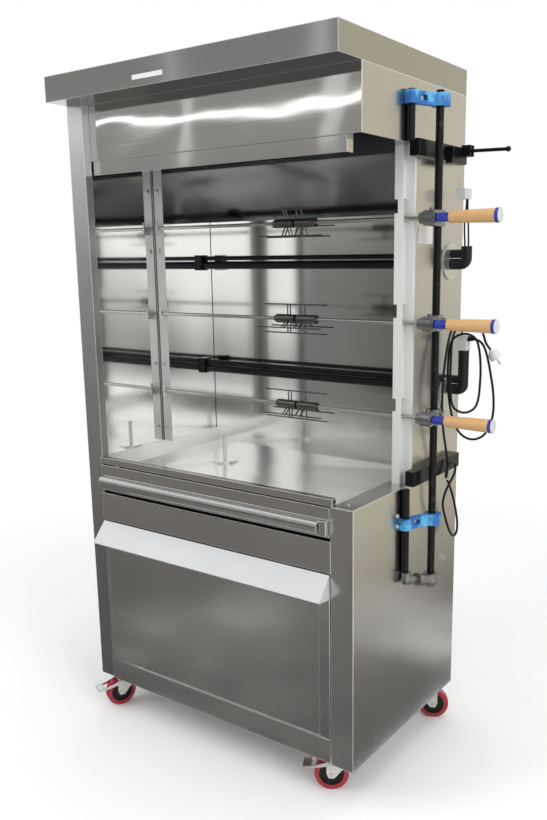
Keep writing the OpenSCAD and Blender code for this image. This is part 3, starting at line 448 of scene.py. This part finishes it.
FRONT_TONE, SIDE_TONE = (0.58, 0.575, 0.565), (0.60, 0.595, 0.585)
canopy_steel = brushed_sheet("canopy_steel", (0.46, 0.455, 0.45), "x", 0.09, 0.0035, 3)
hood_steel = brushed_sheet("hood_steel", FRONT_TONE, "x", 0.045, 0.0050, 9,
                           wave_scale=(2.4, 1.0, 4.5))
front_steel = brushed_sheet("front_steel", FRONT_TONE, "z", 0.17, 0.004, 14)
side_steel = brushed_sheet("side_steel", SIDE_TONE, "z", 0.22, 0.0045, 21)
# the left post has a lighter tone than the other sheets as a painted reflection, with painted
# shade at its foot
left_post_painted_light_steel = brushed_sheet("left_post_painted_light_steel", (0.74, 0.74, 0.735), "z", 0.2, 0.001, 33,
                                metal=0.8, foot=0.3)
post_steel = brushed_sheet("post_steel", SIDE_TONE, "z", 0.22, 0.001, 37)
back_steel = brushed_sheet("back_steel", (0.56, 0.55, 0.53), "z", 0.3, 0.003, 41)
print("brushed finishes:", sum(m.name.endswith("_steel") for m in bpy.data.materials))

# %% Dress the outer sheets
dress(canopy_steel, "canopy_cap")
dress(hood_steel, "hood_front", "fascia_beam")
dress(front_steel, "drawer_front", "middle_fascia", "tray_front", "front_rail")
dress(side_steel, "right_side_panel")
dress(left_post_painted_light_steel, "left_side_panel")
dress(post_steel, "lower_post", "side_ledge")
dress(back_steel, "back_panel", "base_pan", "drawer_box", "drawer_runners")
print("outer sheets dressed")

# %% [markdown]
# ## The polished cooking space
# The liner, the hearth basin and the drain are polished almost to a mirror, so that they throw
# the heat back. A mirror shows what is round it, so this finish has little colour of its own. It
# gets long soft waves, faint wipe marks, and a brown bloom where the heaters have warmed the
# wall. The back wall has gone satin from heat and scrubbing, and the side wall is still a
# mirror. The two meet in a thin dark seam, which is a mask: a point is on it when it is near
# both walls.

# %% Make the polished finish
CORNER = place(42, 583, 0)  # where the left and the back wall meet
BACK_FROM, BACK_WHOLE = CORNER.y - 0.002, CORNER.y - 0.001
SEAM_DARK, SEAM_HALF, SEAM_END = (0.10, 0.10, 0.10), 0.001, 0.003
HEATED, TUBE_LOW_Z, TUBE_HIGH_Z, BLOOM_REACH = (0.46, 0.40, 0.33), 1.10, 1.46, 0.16
# painted shade on the back wall, growing toward its right end
PAINTED_SHADE_TONE, SHADE_FROM_X, SHADE_WHOLE_X = (0.48, 0.46, 0.41), -0.1, 0.35


def polished_sheet(name, tone, rough, wave=0.0008, shift=0.0, bloom=0.0, satin_back=0.0,
                   right_shade=0.0, metal=1.0):
    """Polished stainless sheet, with a heat bloom of the given strength behind the tubes.

    satin_back adds roughness to the back wall, and painted shade darkens that wall toward its
    right end, as strongly as asked."""
    sheet = Finish(name, Metallic=metal)
    waves = sheet.noise(2.6, detail=1, shift=shift)
    wipes = sheet.noise((30, 30, 6), detail=3, shift=shift + 3)
    x, y, z = (sheet.axis(letter) for letter in "xyz")
    behind = sheet.between(y, BACK_FROM, BACK_WHOLE)
    upper = 1 - ((z - TUBE_HIGH_Z).size() / BLOOM_REACH).held()
    lower = 1 - ((z - TUBE_LOW_Z).size() / BLOOM_REACH).held()
    heat = ((upper + lower) * sheet.noise(5, shift=shift + 8) * bloom).held()
    # painted shade: the back wall is darkened toward its right end
    painted_shade = sheet.between(x, SHADE_FROM_X, SHADE_WHOLE_X) * behind * right_shade
    from_seam = (x - CORNER.x).size() + (y - CORNER.y).size()
    skin = sheet.mix(sheet.mix(tone, HEATED, heat), PAINTED_SHADE_TONE, painted_shade)
    clear_of_seam = sheet.between(from_seam, SEAM_HALF, SEAM_END)
    sheet.set(base_color=sheet.mix(SEAM_DARK, skin, clear_of_seam),
              roughness=(rough - 0.03 + wipes * 0.06 + behind * satin_back).held(),
              normal=sheet.bump(waves, wave, onto=sheet.rounded(0.0015)))
    return sheet


liner_steel = polished_sheet("liner_steel", (0.97, 0.97, 0.96), 0.05, bloom=0.15,
                             satin_back=0.07, right_shade=0.9)
basin_steel = polished_sheet("basin_steel", (0.92, 0.92, 0.91), 0.2, 0.0012, shift=7,
                             metal=0.75)
baffle_steel = polished_sheet("baffle_steel", (0.25, 0.26, 0.27), 0.12, 0.004, shift=13)
dress(liner_steel, "cavity_liner")
dress(basin_steel, "hearth_basin", "drain_pipe", "tray_pan")
dress(baffle_steel, "ceiling_baffle")
print("polished finishes: liner, basin, baffle")

# %% [markdown]
# ## The pale flap, posts and plates
# The long flap over the drawer is still in its pale film and reads as clean white metal. A
# lightly coated paint with a faint ripple gives that, and it does for the pale slotted post as
# well. The two small plates are bare and carry nothing. The strip behind the skewer tips has a
# fold on its left that lies in shadow. Its colour carries a painted shadow there, a dark line with
# a thin painted highlight on the ridge, and the polished wall beside it mirrors the dark line as a
# second one.

# %% Pale sheet


def pale_sheet(name, tone, shift=0.0):
    """Smooth pale sheet with a soft sheen and a slight ripple."""
    sheet = Finish(name, Metallic=0.15, **{"Coat Weight": 0.3})
    cloud = sheet.noise(6, detail=3, shift=shift)
    sheet.set(base_color=sheet.mix(scaled(tone, DULLED), tone, cloud),
              roughness=0.3 + cloud * 0.12,
              normal=sheet.bump(sheet.noise(9, shift=shift + 2), 0.0006,
                                onto=sheet.rounded(0.0012)))
    return sheet


flap_white = pale_sheet("flap_white", (0.64, 0.65, 0.665))
plate_white = pale_sheet("plate_white", (0.80, 0.80, 0.80), 5)
post_white = pale_sheet("post_white", (0.74, 0.74, 0.73), 9)
dress(flap_white, "drawer_flap")
dress(plate_white, "blank_plates")
dress(post_white, "slotted_post")
print("pale finishes: flap, plates, slotted post")

# %% The strip behind the skewer tips, with its shadowed fold
# the fold's colour is painted light: a painted shadow, with a thin painted highlight on its ridge
RIDGE_FROM, RIDGE_TO, SHADOW_FROM, SHADOW_TO = (place(x, 0, 0).x for x in (44, 45, 47.5, 49))
STRIP_TONE, STRIP_DULL = (0.76, 0.76, 0.75), (0.66, 0.66, 0.65)
STRIP_SHADOW, PAINTED_RIDGE_HIGHLIGHT = (0.02, 0.02, 0.02), (0.30, 0.30, 0.30)
tip_strip = pale_sheet("tip_strip", STRIP_TONE, 12)
along = tip_strip.axis("x")
ridge = 1 - tip_strip.between(along, RIDGE_FROM, RIDGE_TO)
fold_shadow_and_highlight = tip_strip.mix(STRIP_SHADOW, PAINTED_RIDGE_HIGHLIGHT, ridge)
face_tone = tip_strip.mix(STRIP_DULL, STRIP_TONE, tip_strip.noise(6, shift=12))
past_fold = tip_strip.between(along, SHADOW_FROM, SHADOW_TO)
tip_strip.set(base_color=tip_strip.mix(fold_shadow_and_highlight, face_tone, past_fold))
dress(tip_strip, "tip_support")
print("tip strip: fold ends", round(SHADOW_TO - RIDGE_FROM, 4), "m past its ridge")

# %% [markdown]
# ## Zinc, drawn bar and darkened wire
# Bolts, casters and pedals are zinc plated: pale and slightly mottled. The skewers are drawn
# bar, their cages are wire that cooking has darkened, and the heads and pipe elbows are rough
# castings.

# %% Make the small metals


def plated(name, tone, mottle, rough, relief=0.0001, grain=60, warm=None):
    """Small metal parts: uneven gloss, a fine relief, and spots of a second tone.

    That tone is warm if it is given, and else the first one made darker by mottle."""
    metal = Finish(name, Metallic=1.0)
    spots = metal.noise(grain, detail=4, shift=2)
    broad = metal.noise(12, detail=2, shift=9)
    metal.set(base_color=metal.mix(tone, warm or scaled(tone, mottle),
                                   (spots * 0.6 + broad * 0.6 - 0.1).held()),
              roughness=(rough - 0.08 + spots * 0.16).held(),
              normal=metal.bump(spots, relief, onto=metal.rounded(0.0007)))
    return metal


zinc = plated("zinc_plate", (0.70, 0.70, 0.69), None, 0.3, warm=(0.60, 0.59, 0.55))
bar_steel = plated("drawn_bar", (0.60, 0.59, 0.57), 0.85, 0.22, grain=140)
wire_steel = plated("dark_wire", (0.24, 0.23, 0.22), 0.5, 0.3, 0.0008, 90)
cast_grey = plated("raw_casting", (0.46, 0.46, 0.47), 0.35, 0.38, 0.0022, 95)
dress(zinc, "panel_bolts", "caster_plates", "brake_pedal_left", "brake_pedal_right",
      *[f"fork_{end}_{side}" for end in ("front", "back") for side in ("left", "right")])
for level in ("low", "mid", "high"):
    dress(bar_steel, f"rod_{level}")
    dress(wire_steel, f"prongs_{level}")
dress(cast_grey, "pipe_elbows", "skewer_heads")
print("small metals dressed")

# %% [markdown]
# The heater tubes end in black sockets at the left, inside the cooking space, and in round steel
# flanges outside its right wall. Both kinds are in one node of the frame. They could be sorted
# face by face, but they lie far apart along x, so a step of x near the right wall is enough to
# give each kind its own colour.

# %% Black sockets inside the cooking space, steel flanges outside it
INSIDE_X, OUTSIDE_X = place(990, 0, 0).x, place(994, 0, 0).x
SOCKET_BLACK, FLANGE_STEEL = (0.02, 0.02, 0.02), (0.62, 0.62, 0.60)
mount = Finish("heater_mount", Metallic=0.9)
outside = mount.between(mount.axis("x"), INSIDE_X, OUTSIDE_X)
mount.set(base_color=mount.mix(SOCKET_BLACK, FLANGE_STEEL, outside),
          roughness=0.24 + mount.noise(60) * 0.16, normal=mount.rounded(0.001))
dress(mount, "heater_mounts")
print("mounts turn to steel at x", round(OUTSIDE_X, 3))

# %% [markdown]
# ## Paint, black pipe and rubber
# The rack is black pipe and bar with a satin paint, the clamps are castings brushed with blue
# paint, and the heater tubes have an oxidised skin. Rubber boots and cord jackets are nearly
# black. All share one idea: a coat of one tone, a fine orange-peel relief, and worn patches of a
# second tone that a mask lets through. shine is how much the coat mirrors, and it is low for all
# that is black.

# %% Make painted and rubber finishes


def painted(name, tone, worn, rough, wear=0.25, peel=0.0002, grain=150, shine=0.5, coat=0.0):
    """A painted surface whose worn patches show a second colour."""
    paint = Finish(name, **{"Coat Weight": coat, "Specular IOR Level": shine})
    peelings = paint.noise(grain, detail=2, shift=4)
    rubbed = paint.between(paint.noise(26, detail=5, shift=8), 0.66 - wear * 0.3, 0.74)
    paint.set(base_color=paint.mix(tone, worn, rubbed * wear * 2),
              roughness=(rough - 0.06 + peelings * 0.14 + rubbed * 0.1).held(),
              normal=paint.bump(peelings, peel, onto=paint.rounded(0.0009)))
    return paint


black_paint = painted("satin_black", (0.006, 0.006, 0.007), (0.05, 0.05, 0.05), 0.24,
                      shine=0.2)
clamp_blue = painted("clamp_blue", (0.015, 0.13, 0.42), (0.10, 0.40, 0.70), 0.36, wear=0.8,
                     peel=0.0016, grain=110)
heater_black = painted("oxidised_tube", (0.007, 0.007, 0.007), (0.03, 0.025, 0.02), 0.3,
                       wear=0.3, grain=300, shine=0.25)
boot_rubber = painted("boot_rubber", (0.010, 0.010, 0.010), (0.03, 0.03, 0.03), 0.34, grain=80,
                      shine=0.3)
cord_rubber = painted("cord_jacket", (0.008, 0.008, 0.009), (0.02, 0.02, 0.02), 0.36, grain=200,
                      shine=0.25)
block_pale = painted("terminal_block", (0.62, 0.62, 0.60), (0.42, 0.41, 0.38), 0.4, wear=0.3)
plug_pale = painted("plug_pale", (0.66, 0.67, 0.68), (0.5, 0.5, 0.49), 0.3, wear=0.2, coat=0.4)
dress(black_paint, "side_rails", "lock_block", "lock_lever", "rack_pipes")
dress(clamp_blue, "pipe_clamps")
dress(heater_black, "heater_tubes")
dress(boot_rubber, "heater_boots")
dress(block_pale, "heater_connectors")
dress(plug_pale, "supply_plug")
dress(cord_rubber, supply, spare, front_lead, back_lead, relief)
print("painted and rubber finishes dressed")

# %% [markdown]
# The plug and its two pins are one solid. Its faces are sorted by how far they lie along the
# plug: past its body they belong to the pins and get bright metal.

# %% Bright pins on the pale plug
PLUG_BODY = 0.0302
cord_end = place(*SUPPLY[-1])
plug_way = (cord_end - place(*SUPPLY[-2])).normalized()
plug = nodes["supply_plug"].data
plug.materials.append(zinc.material)
for face in plug.polygons:
    farthest = max((plug.vertices[i].co - cord_end).dot(plug_way) for i in face.vertices)
    face.material_index = int(farthest > PLUG_BODY)
print("pin faces:", sum(face.material_index for face in plug.polygons))

# %% [markdown]
# ## The wooden handles
# Each handle is one solid: a blue ferrule, a turned grip, a blue ring and a pale cap, one after
# the other along the skewer. Since they follow each other along x, soft steps of x tell the
# shader which is which. The wood is turned from a plank, so its grain runs along the grip: rings
# round a line beside the handle, stretched lengthways and bent a little by noise.

# %% Turned wood with a painted ferrule, ring and cap
FERRULE_END, WOOD_END, RING_END = (place(x, 0, 0).x for x in (1107.1, 1232.2, 1241.3))
EDGE, ROD_Y = 0.0004, 298
TREE_BEFORE, TREE_BELOW, RINGS_PER_M, RING_SWAY = 0.03, 0.045, 260, 5
EARLY_WOOD, LATE_WOOD, CAP_PALE = (0.66, 0.42, 0.20), (0.50, 0.28, 0.11), (0.62, 0.63, 0.62)
BLUE_PAINT, BLUE_SCUFFED = (0.02, 0.035, 0.30), (0.06, 0.09, 0.42)
AXIS_HEIGHTS = {"low": 1040, "mid": 1298, "high": 1573}  # in millimetres


def handle_finish(level, height_mm):
    """The finish of the handle whose axis is at a height in millimetres."""
    grip = Finish(f"turned_grip_{level}")
    x, y, z = (grip.axis(letter) for letter in "xyz")
    centre = place(0, ROD_Y, height_mm)
    from_heart = ((y - centre.y + TREE_BEFORE) ** 2.0 + (z - centre.z + TREE_BELOW) ** 2.0) ** 0.5
    sway = grip.noise((6, 30, 30), detail=2, shift=height_mm * 0.01)
    rings = ((from_heart * RINGS_PER_M + sway * RING_SWAY).fraction() - 0.5).size() * 2
    pores = grip.noise((40, 1400, 1400), detail=2)
    wood = grip.mix(EARLY_WOOD, LATE_WOOD, (rings * 0.55 + pores * 0.35).held())
    past_ferrule = grip.between(x, FERRULE_END - EDGE, FERRULE_END + EDGE)
    past_wood = grip.between(x, WOOD_END - EDGE, WOOD_END + EDGE)
    past_ring = grip.between(x, RING_END - EDGE, RING_END + EDGE)
    scuffs = grip.between(grip.noise(120, detail=3), 0.6, 0.75)
    blue = grip.mix(BLUE_PAINT, BLUE_SCUFFED, scuffs)
    body = grip.mix(blue, wood, past_ferrule)
    body = grip.mix(body, blue, past_wood)
    grip.set(base_color=grip.mix(body, CAP_PALE, past_ring),
             roughness=(0.34 + pores * 0.18 - past_ring * 0.08).held(),
             normal=grip.bump(rings * 0.4 + pores, 0.0002, onto=grip.rounded(0.001)))
    return grip


for level, height in AXIS_HEIGHTS.items():
    dress(handle_finish(level, height), f"handle_{level}")
print("handles:", round((WOOD_END - FERRULE_END) * 1000), "mm of wood each")

# %% [markdown]
# ## The wheels
# A caster wheel is a red tread cast round a black core, both turned about the axle, so the
# distance from the axle tells them apart. Each face of the wheel is sorted by that distance
# once, here in Python, and gets one of two finishes.

# %% Sort each wheel's faces into tread and core
tread_red = painted("red_tread", (0.34, 0.008, 0.02), (0.24, 0.02, 0.03), 0.34, wear=0.4,
                    grain=60, coat=0.3)
core_black = painted("black_core", (0.008, 0.008, 0.009), (0.04, 0.04, 0.04), 0.4, shine=0.25)
TREAD_FROM = 0.0352
ROLLS_TOWARD = {"wheel_front_left": 246, "wheel_front_right": 211, "wheel_back_left": 30,
                "wheel_back_right": 26}  # degrees from x


def dress_wheel(name, degrees):
    """Red outside TREAD_FROM of the axle, black inside it. Gives the number of red faces."""
    low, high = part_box(name)
    middle = (low + high) / 2
    turned = math.radians(degrees)
    ahead = Vector((math.cos(turned), math.sin(turned), 0))
    mesh = nodes[name].data
    mesh.materials.clear()
    mesh.materials.append(core_black.material)
    mesh.materials.append(tread_red.material)
    for face in mesh.polygons:
        arms = [mesh.vertices[i].co - middle for i in face.vertices]
        reach = max(math.hypot(arm.z, arm.dot(ahead)) for arm in arms)
        face.material_index = int(reach > TREAD_FROM)
    return sum(face.material_index for face in mesh.polygons)


print("tread faces:", [dress_wheel(name, turned) for name, turned in ROLLS_TOWARD.items()])

# %% [markdown]
# ## The studio
# The grill stands on a plain pale floor in soft light from all sides. The world is white to the
# eye and in reflections, and a little dimmer as a light, so that the lamps can shape the object.
# The floor is pale and keeps the shadow, and fades out far from the grill so that it has no
# edge.

# %% World
SKY_AS_LIGHT = 0.62
world = bpy.data.worlds.new("white_studio")
bpy.context.scene.world = world
world.use_nodes = True
sky = world.node_tree
sky.nodes.clear()
sky_seen, sky_light = (sky.nodes.new("ShaderNodeBackground") for _ in range(2))
sky_seen.inputs["Color"].default_value = (1, 1, 1, 1)
sky_light.inputs["Color"].default_value = (1, 1, 1, 1)
sky_light.inputs["Strength"].default_value = SKY_AS_LIGHT
path = sky.nodes.new("ShaderNodeLightPath")
kinds = [path.outputs[kind] for kind in ("Is Camera Ray", "Is Glossy Ray",
                                         "Is Transmission Ray")]
total = kinds[0]
for kind in kinds[1:]:
    either = sky.nodes.new("ShaderNodeMath")
    either.operation = "MAXIMUM"
    sky.links.new(total, either.inputs[0])
    sky.links.new(kind, either.inputs[1])
    total = either.outputs[0]
choose = sky.nodes.new("ShaderNodeMixShader")
sky.links.new(total, choose.inputs[0])
sky.links.new(sky_light.outputs[0], choose.inputs[1])
sky.links.new(sky_seen.outputs[0], choose.inputs[2])
sky_end = sky.nodes.new("ShaderNodeOutputWorld")
sky.links.new(choose.outputs[0], sky_end.inputs[0])
print("world:", len(sky.nodes), "nodes")

# %% A staged sheet, and the floor
FLOOR_HALF, FADE_FROM, FADE_TO = 3.0, 1.3, 2.9


def flat_sheet(name, corners, finish):
    """A staged flat sheet through four corners, in frame metres."""
    mesh = bpy.data.meshes.new(name)
    mesh.from_pydata([Vector(c) for c in corners], [], [(0, 1, 2, 3)])
    sheet = bpy.data.objects.new(name, mesh)
    bpy.context.scene.collection.objects.link(sheet)
    dress(finish, sheet)
    return sheet


pale_floor = Finish("pale_floor", Roughness=0.75)
pale_floor.set(base_color=pale_floor.mix((0.93, 0.93, 0.93), (0.96, 0.96, 0.96),
                                         pale_floor.noise(2)))
from_grill = (pale_floor.axis("x") ** 2.0 + pale_floor.axis("y") ** 2.0) ** 0.5
pale_floor.set(alpha=1 - pale_floor.between(from_grill, FADE_FROM, FADE_TO))
flat_sheet("floor", [(x * FLOOR_HALF, y * FLOOR_HALF, 0)
                     for x, y in ((-1, -1), (1, -1), (1, 1), (-1, 1))], pale_floor)
print("floor:", 2 * FLOOR_HALF, "m across")

# %% [markdown]
# Three large soft lamps light the matt pieces. Bare metal would mirror each lamp as a hard white
# square, so the lamps are kept out of reflections. What the metal mirrors is set by cards
# instead, as in any studio that photographs steel: grey and warm cards stand where each panel
# looks, and a pale stripe on a card becomes a bright band that the waves of the sheet bend.

# %% Lamps
LAMPS = {  # place, target, watts, width and height
    "left_lamp": ((-2.6, -2.8, 3.0), (0, 0, 1.0), 70, 2.4, 2.4),
    "right_lamp": ((3.2, -1.2, 2.6), (0, 0, 1.0), 60, 2.0, 2.4),
    "top_lamp": ((0.2, 0.2, 4.2), (0, 0, 0), 60, 3.0, 3.0),
}


def soft_lamp(name, spot, target, power, width, height):
    """A soft rectangular lamp at a spot, aimed at a target."""
    lamp = bpy.data.lights.new(name, "AREA")
    lamp.shape = "RECTANGLE"
    lamp.size, lamp.size_y, lamp.energy = width, height, power
    stand = bpy.data.objects.new(name, lamp)
    stand.location = spot
    stand.rotation_euler = (Vector(target) - Vector(spot)).to_track_quat("-Z", "Y").to_euler()
    stand.visible_glossy = False
    bpy.context.scene.collection.objects.link(stand)


for name, setting in LAMPS.items():
    soft_lamp(name, *setting)
print("lamps:", len(LAMPS))

# %% Make a reflection card
CARD_LIFT = 0.004  # a floor card lies just over the floor
SOLID_SHARE = 0.4  # of a stripe's half width, before it starts to fade


def card(name, corners, colour):
    """A card that only reflections see. colour makes its tone, given the card's own finish."""
    board = Finish(name + "_tone")
    board.net.nodes.remove(board.shader)
    glow = board.node("ShaderNodeEmission", {}, {"Color": colour(board)})
    board.fill(board.end.inputs["Surface"], glow.outputs[0])
    made = flat_sheet(name, corners, board)
    made.visible_camera = made.visible_diffuse = made.visible_shadow = False
    made.visible_transmission = made.visible_volume_scatter = False


def floor_card(name, x_span, y_span, colour):
    """A card that lies on the floor."""
    (x0, x1), (y0, y1) = x_span, y_span
    card(name, [(x, y, CARD_LIFT) for x, y in ((x0, y0), (x1, y0), (x1, y1), (x0, y1))], colour)


def wall_card(name, start, end, z_span, colour):
    """A card that stands over the line from start to end."""
    low, high = z_span
    card(name, [(*start, low), (*end, low), (*end, high), (*start, high)], colour)


def band(board, letter, where, half):
    """A soft stripe across one axis, 1 in its middle."""
    return 1 - board.between((board.axis(letter) - where).size(), half * SOLID_SHARE, half)


def bands(board, stripes):
    """Several soft stripes across x, from (where, half) pairs."""
    return sum(band(board, "x", where, half) for where, half in stripes).held()


print("cards can be made")

# %% [markdown]
# Each card answers one part of the grill. The hood and the canopy look at the top of the card in
# front, which has two tall pale bands under a strip lamp. The back of the cooking space looks at
# the foot of that card. Its left corner is two mirrors at a right angle, which send each ray back
# the way it came, so it looks at a card behind the camera. The drawer looks at the floor in front,
# and the right panel at the floor beside it and a warm card beyond.

# %% What the front of the grill mirrors
DARK, GREY, PALE = (0.17, 0.165, 0.16), (0.42, 0.415, 0.405), (1.0, 1.0, 0.99)
BROWN, POOL_TONE, GLARE = (0.26, 0.245, 0.23), (0.52, 0.51, 0.49), (3.0, 3.0, 2.95)
TALL_BANDS = ((-3.62, 0.10), (-2.13, 0.12))  # where on x, and half the width
GREY_OVER, BANDS_OVER, STRIP_Z, STRIP_HALF = (1.2, 2.4), (2.1, 2.4), 2.66, 0.05
BROWN_PAST, MARK_EDGE = (0.6, 2.6), (0.45, 0.62)
POOL_X, POOL_Y, POOL_R = -0.62, -0.98, 0.62


def front_wall_colour(board):
    """Dark low down, grey higher up, with two tall bands and a strip lamp for the hood."""
    up = board.axis("z")
    tone = board.mix(DARK, GREY, board.between(up, *GREY_OVER))
    lit = bands(board, TALL_BANDS) * board.between(up, *BANDS_OVER)
    tone = board.mix(tone, PALE, (lit * 0.8).held())
    return board.mix(tone, GLARE, (band(board, "z", STRIP_Z, STRIP_HALF) * 0.9).held())


def front_floor_colour(board):
    """Dark near the grill, lighter further off, with one soft pool of light."""
    x, y = board.axis("x"), board.axis("y")
    tone = board.mix(DARK, BROWN, board.between(0 - y, *BROWN_PAST))
    marks = board.between(board.noise((2.2, 9, 1), detail=2, shift=4), *MARK_EDGE)
    from_pool = ((x - POOL_X) ** 2.0 + (y - POOL_Y) ** 2.0) ** 0.5
    pool = 1 - board.between(from_pool, 0.0, POOL_R)
    return board.mix(tone, POOL_TONE, (pool * (0.35 + marks * 0.75) + marks * 0.2).held())


def cloudy_brown(scale):
    """A colour function for a card that is dark, with brown clouds of a scale."""
    return lambda board: board.mix(DARK, BROWN, board.noise(scale))


wall_card("front_wall_card", (-6.5, -4.0), (-1.2, -4.0), (0.0, 5.0), front_wall_colour)
floor_card("front_floor_card", (-4.0, 0.9), (-4.0, -0.36), front_floor_colour)
wall_card("left_wall_card", (-4.0, -4.0), (-4.0, 2.0), (0.0, 1.4), cloudy_brown(1))
floor_card("left_floor_card", (-4.0, -0.63), (-0.36, 2.0), cloudy_brown(2))
print("cards in front and on the left: four")

# %% What the corner of the cooking space mirrors
FAR_GREY, NEAR_BLACK = (0.20, 0.20, 0.195), (0.06, 0.06, 0.05)
PALE_STRIPES = ((2.32, 0.34), (2.86, 0.15), (3.45, 0.20))  # where on x, and half the width
DARK_STRIPE, DARK_UNTIL = ((2.57, 0.06),), (1.98, 2.04)
PALE_OVER, STRIPES_OVER, DIM_PAST, DIM_UNDER = (0.5, 1.55), (0.2, 1.1), (3.7, 4.6), (1.2, 1.7)


def far_wall_colour(board):
    """Pale high up, pale and dark stripes below, dark on the left and dim on the right."""
    up, wide = board.axis("z"), board.axis("x")
    tone = board.mix(FAR_GREY, PALE, board.between(up, *PALE_OVER))
    strength = 0.25 + board.between(up, *STRIPES_OVER) * 0.7
    tone = board.mix(tone, PALE, (bands(board, PALE_STRIPES) * strength).held())
    dark = bands(board, DARK_STRIPE) + (1 - board.between(wide, *DARK_UNTIL))
    tone = board.mix(tone, NEAR_BLACK, (dark.held() * 0.9).held())
    dim = board.between(wide, *DIM_PAST) * (1 - board.between(up, *DIM_UNDER))
    return board.mix(tone, GREY, (dim * 0.6).held())


wall_card("far_wall_card", (-1.2, -4.0), (7.0, -4.0), (0.15, 3.0), far_wall_colour)
print("cards behind the camera: one")

# %% What the right panel mirrors
BEIGE = (0.78, 0.73, 0.57)
BEIGE_PAST, BEIGE_OVER, SIDE_MARK_EDGE = (0.5, 1.9), (0.2, 1.2), (0.44, 0.60)
STREAK_OPENS, STREAK_CLOSES, STREAK_ENDS = (0.50, 0.68), (0.95, 1.30), (1.0, 1.4)


def side_floor_colour(board):
    """Dark near the grill, beige further off, with a long pale streak across y."""
    beside, away = board.axis("x"), board.axis("y")
    tone = board.mix(DARK, BEIGE, board.between(beside, *BEIGE_PAST))
    marks = board.between(board.noise((9, 3, 1), detail=2, shift=6), *SIDE_MARK_EDGE)
    streak = board.between(away, *STREAK_OPENS) * (1 - board.between(away, *STREAK_CLOSES))
    streak = streak * (1 - board.between(beside, *STREAK_ENDS)) * (0.25 + marks * 0.4)
    return board.mix(tone, PALE, streak.held())


def side_wall_colour(board):
    """Grey at its foot and beige above."""
    return board.mix(GREY, BEIGE, board.between(board.axis("z"), *BEIGE_OVER))


floor_card("side_floor_card", (0.46, 3.2), (-0.4, 5.5), side_floor_colour)
wall_card("side_wall_card", (3.2, 0.5), (3.2, 8.0), (0.0, 5.0), side_wall_colour)
print("cards on the right: two")

# %% [markdown]
# ## The view
# The plain Standard view shows each colour as it was written.

# %% Finish
bpy.context.scene.view_settings.view_transform = "Standard"
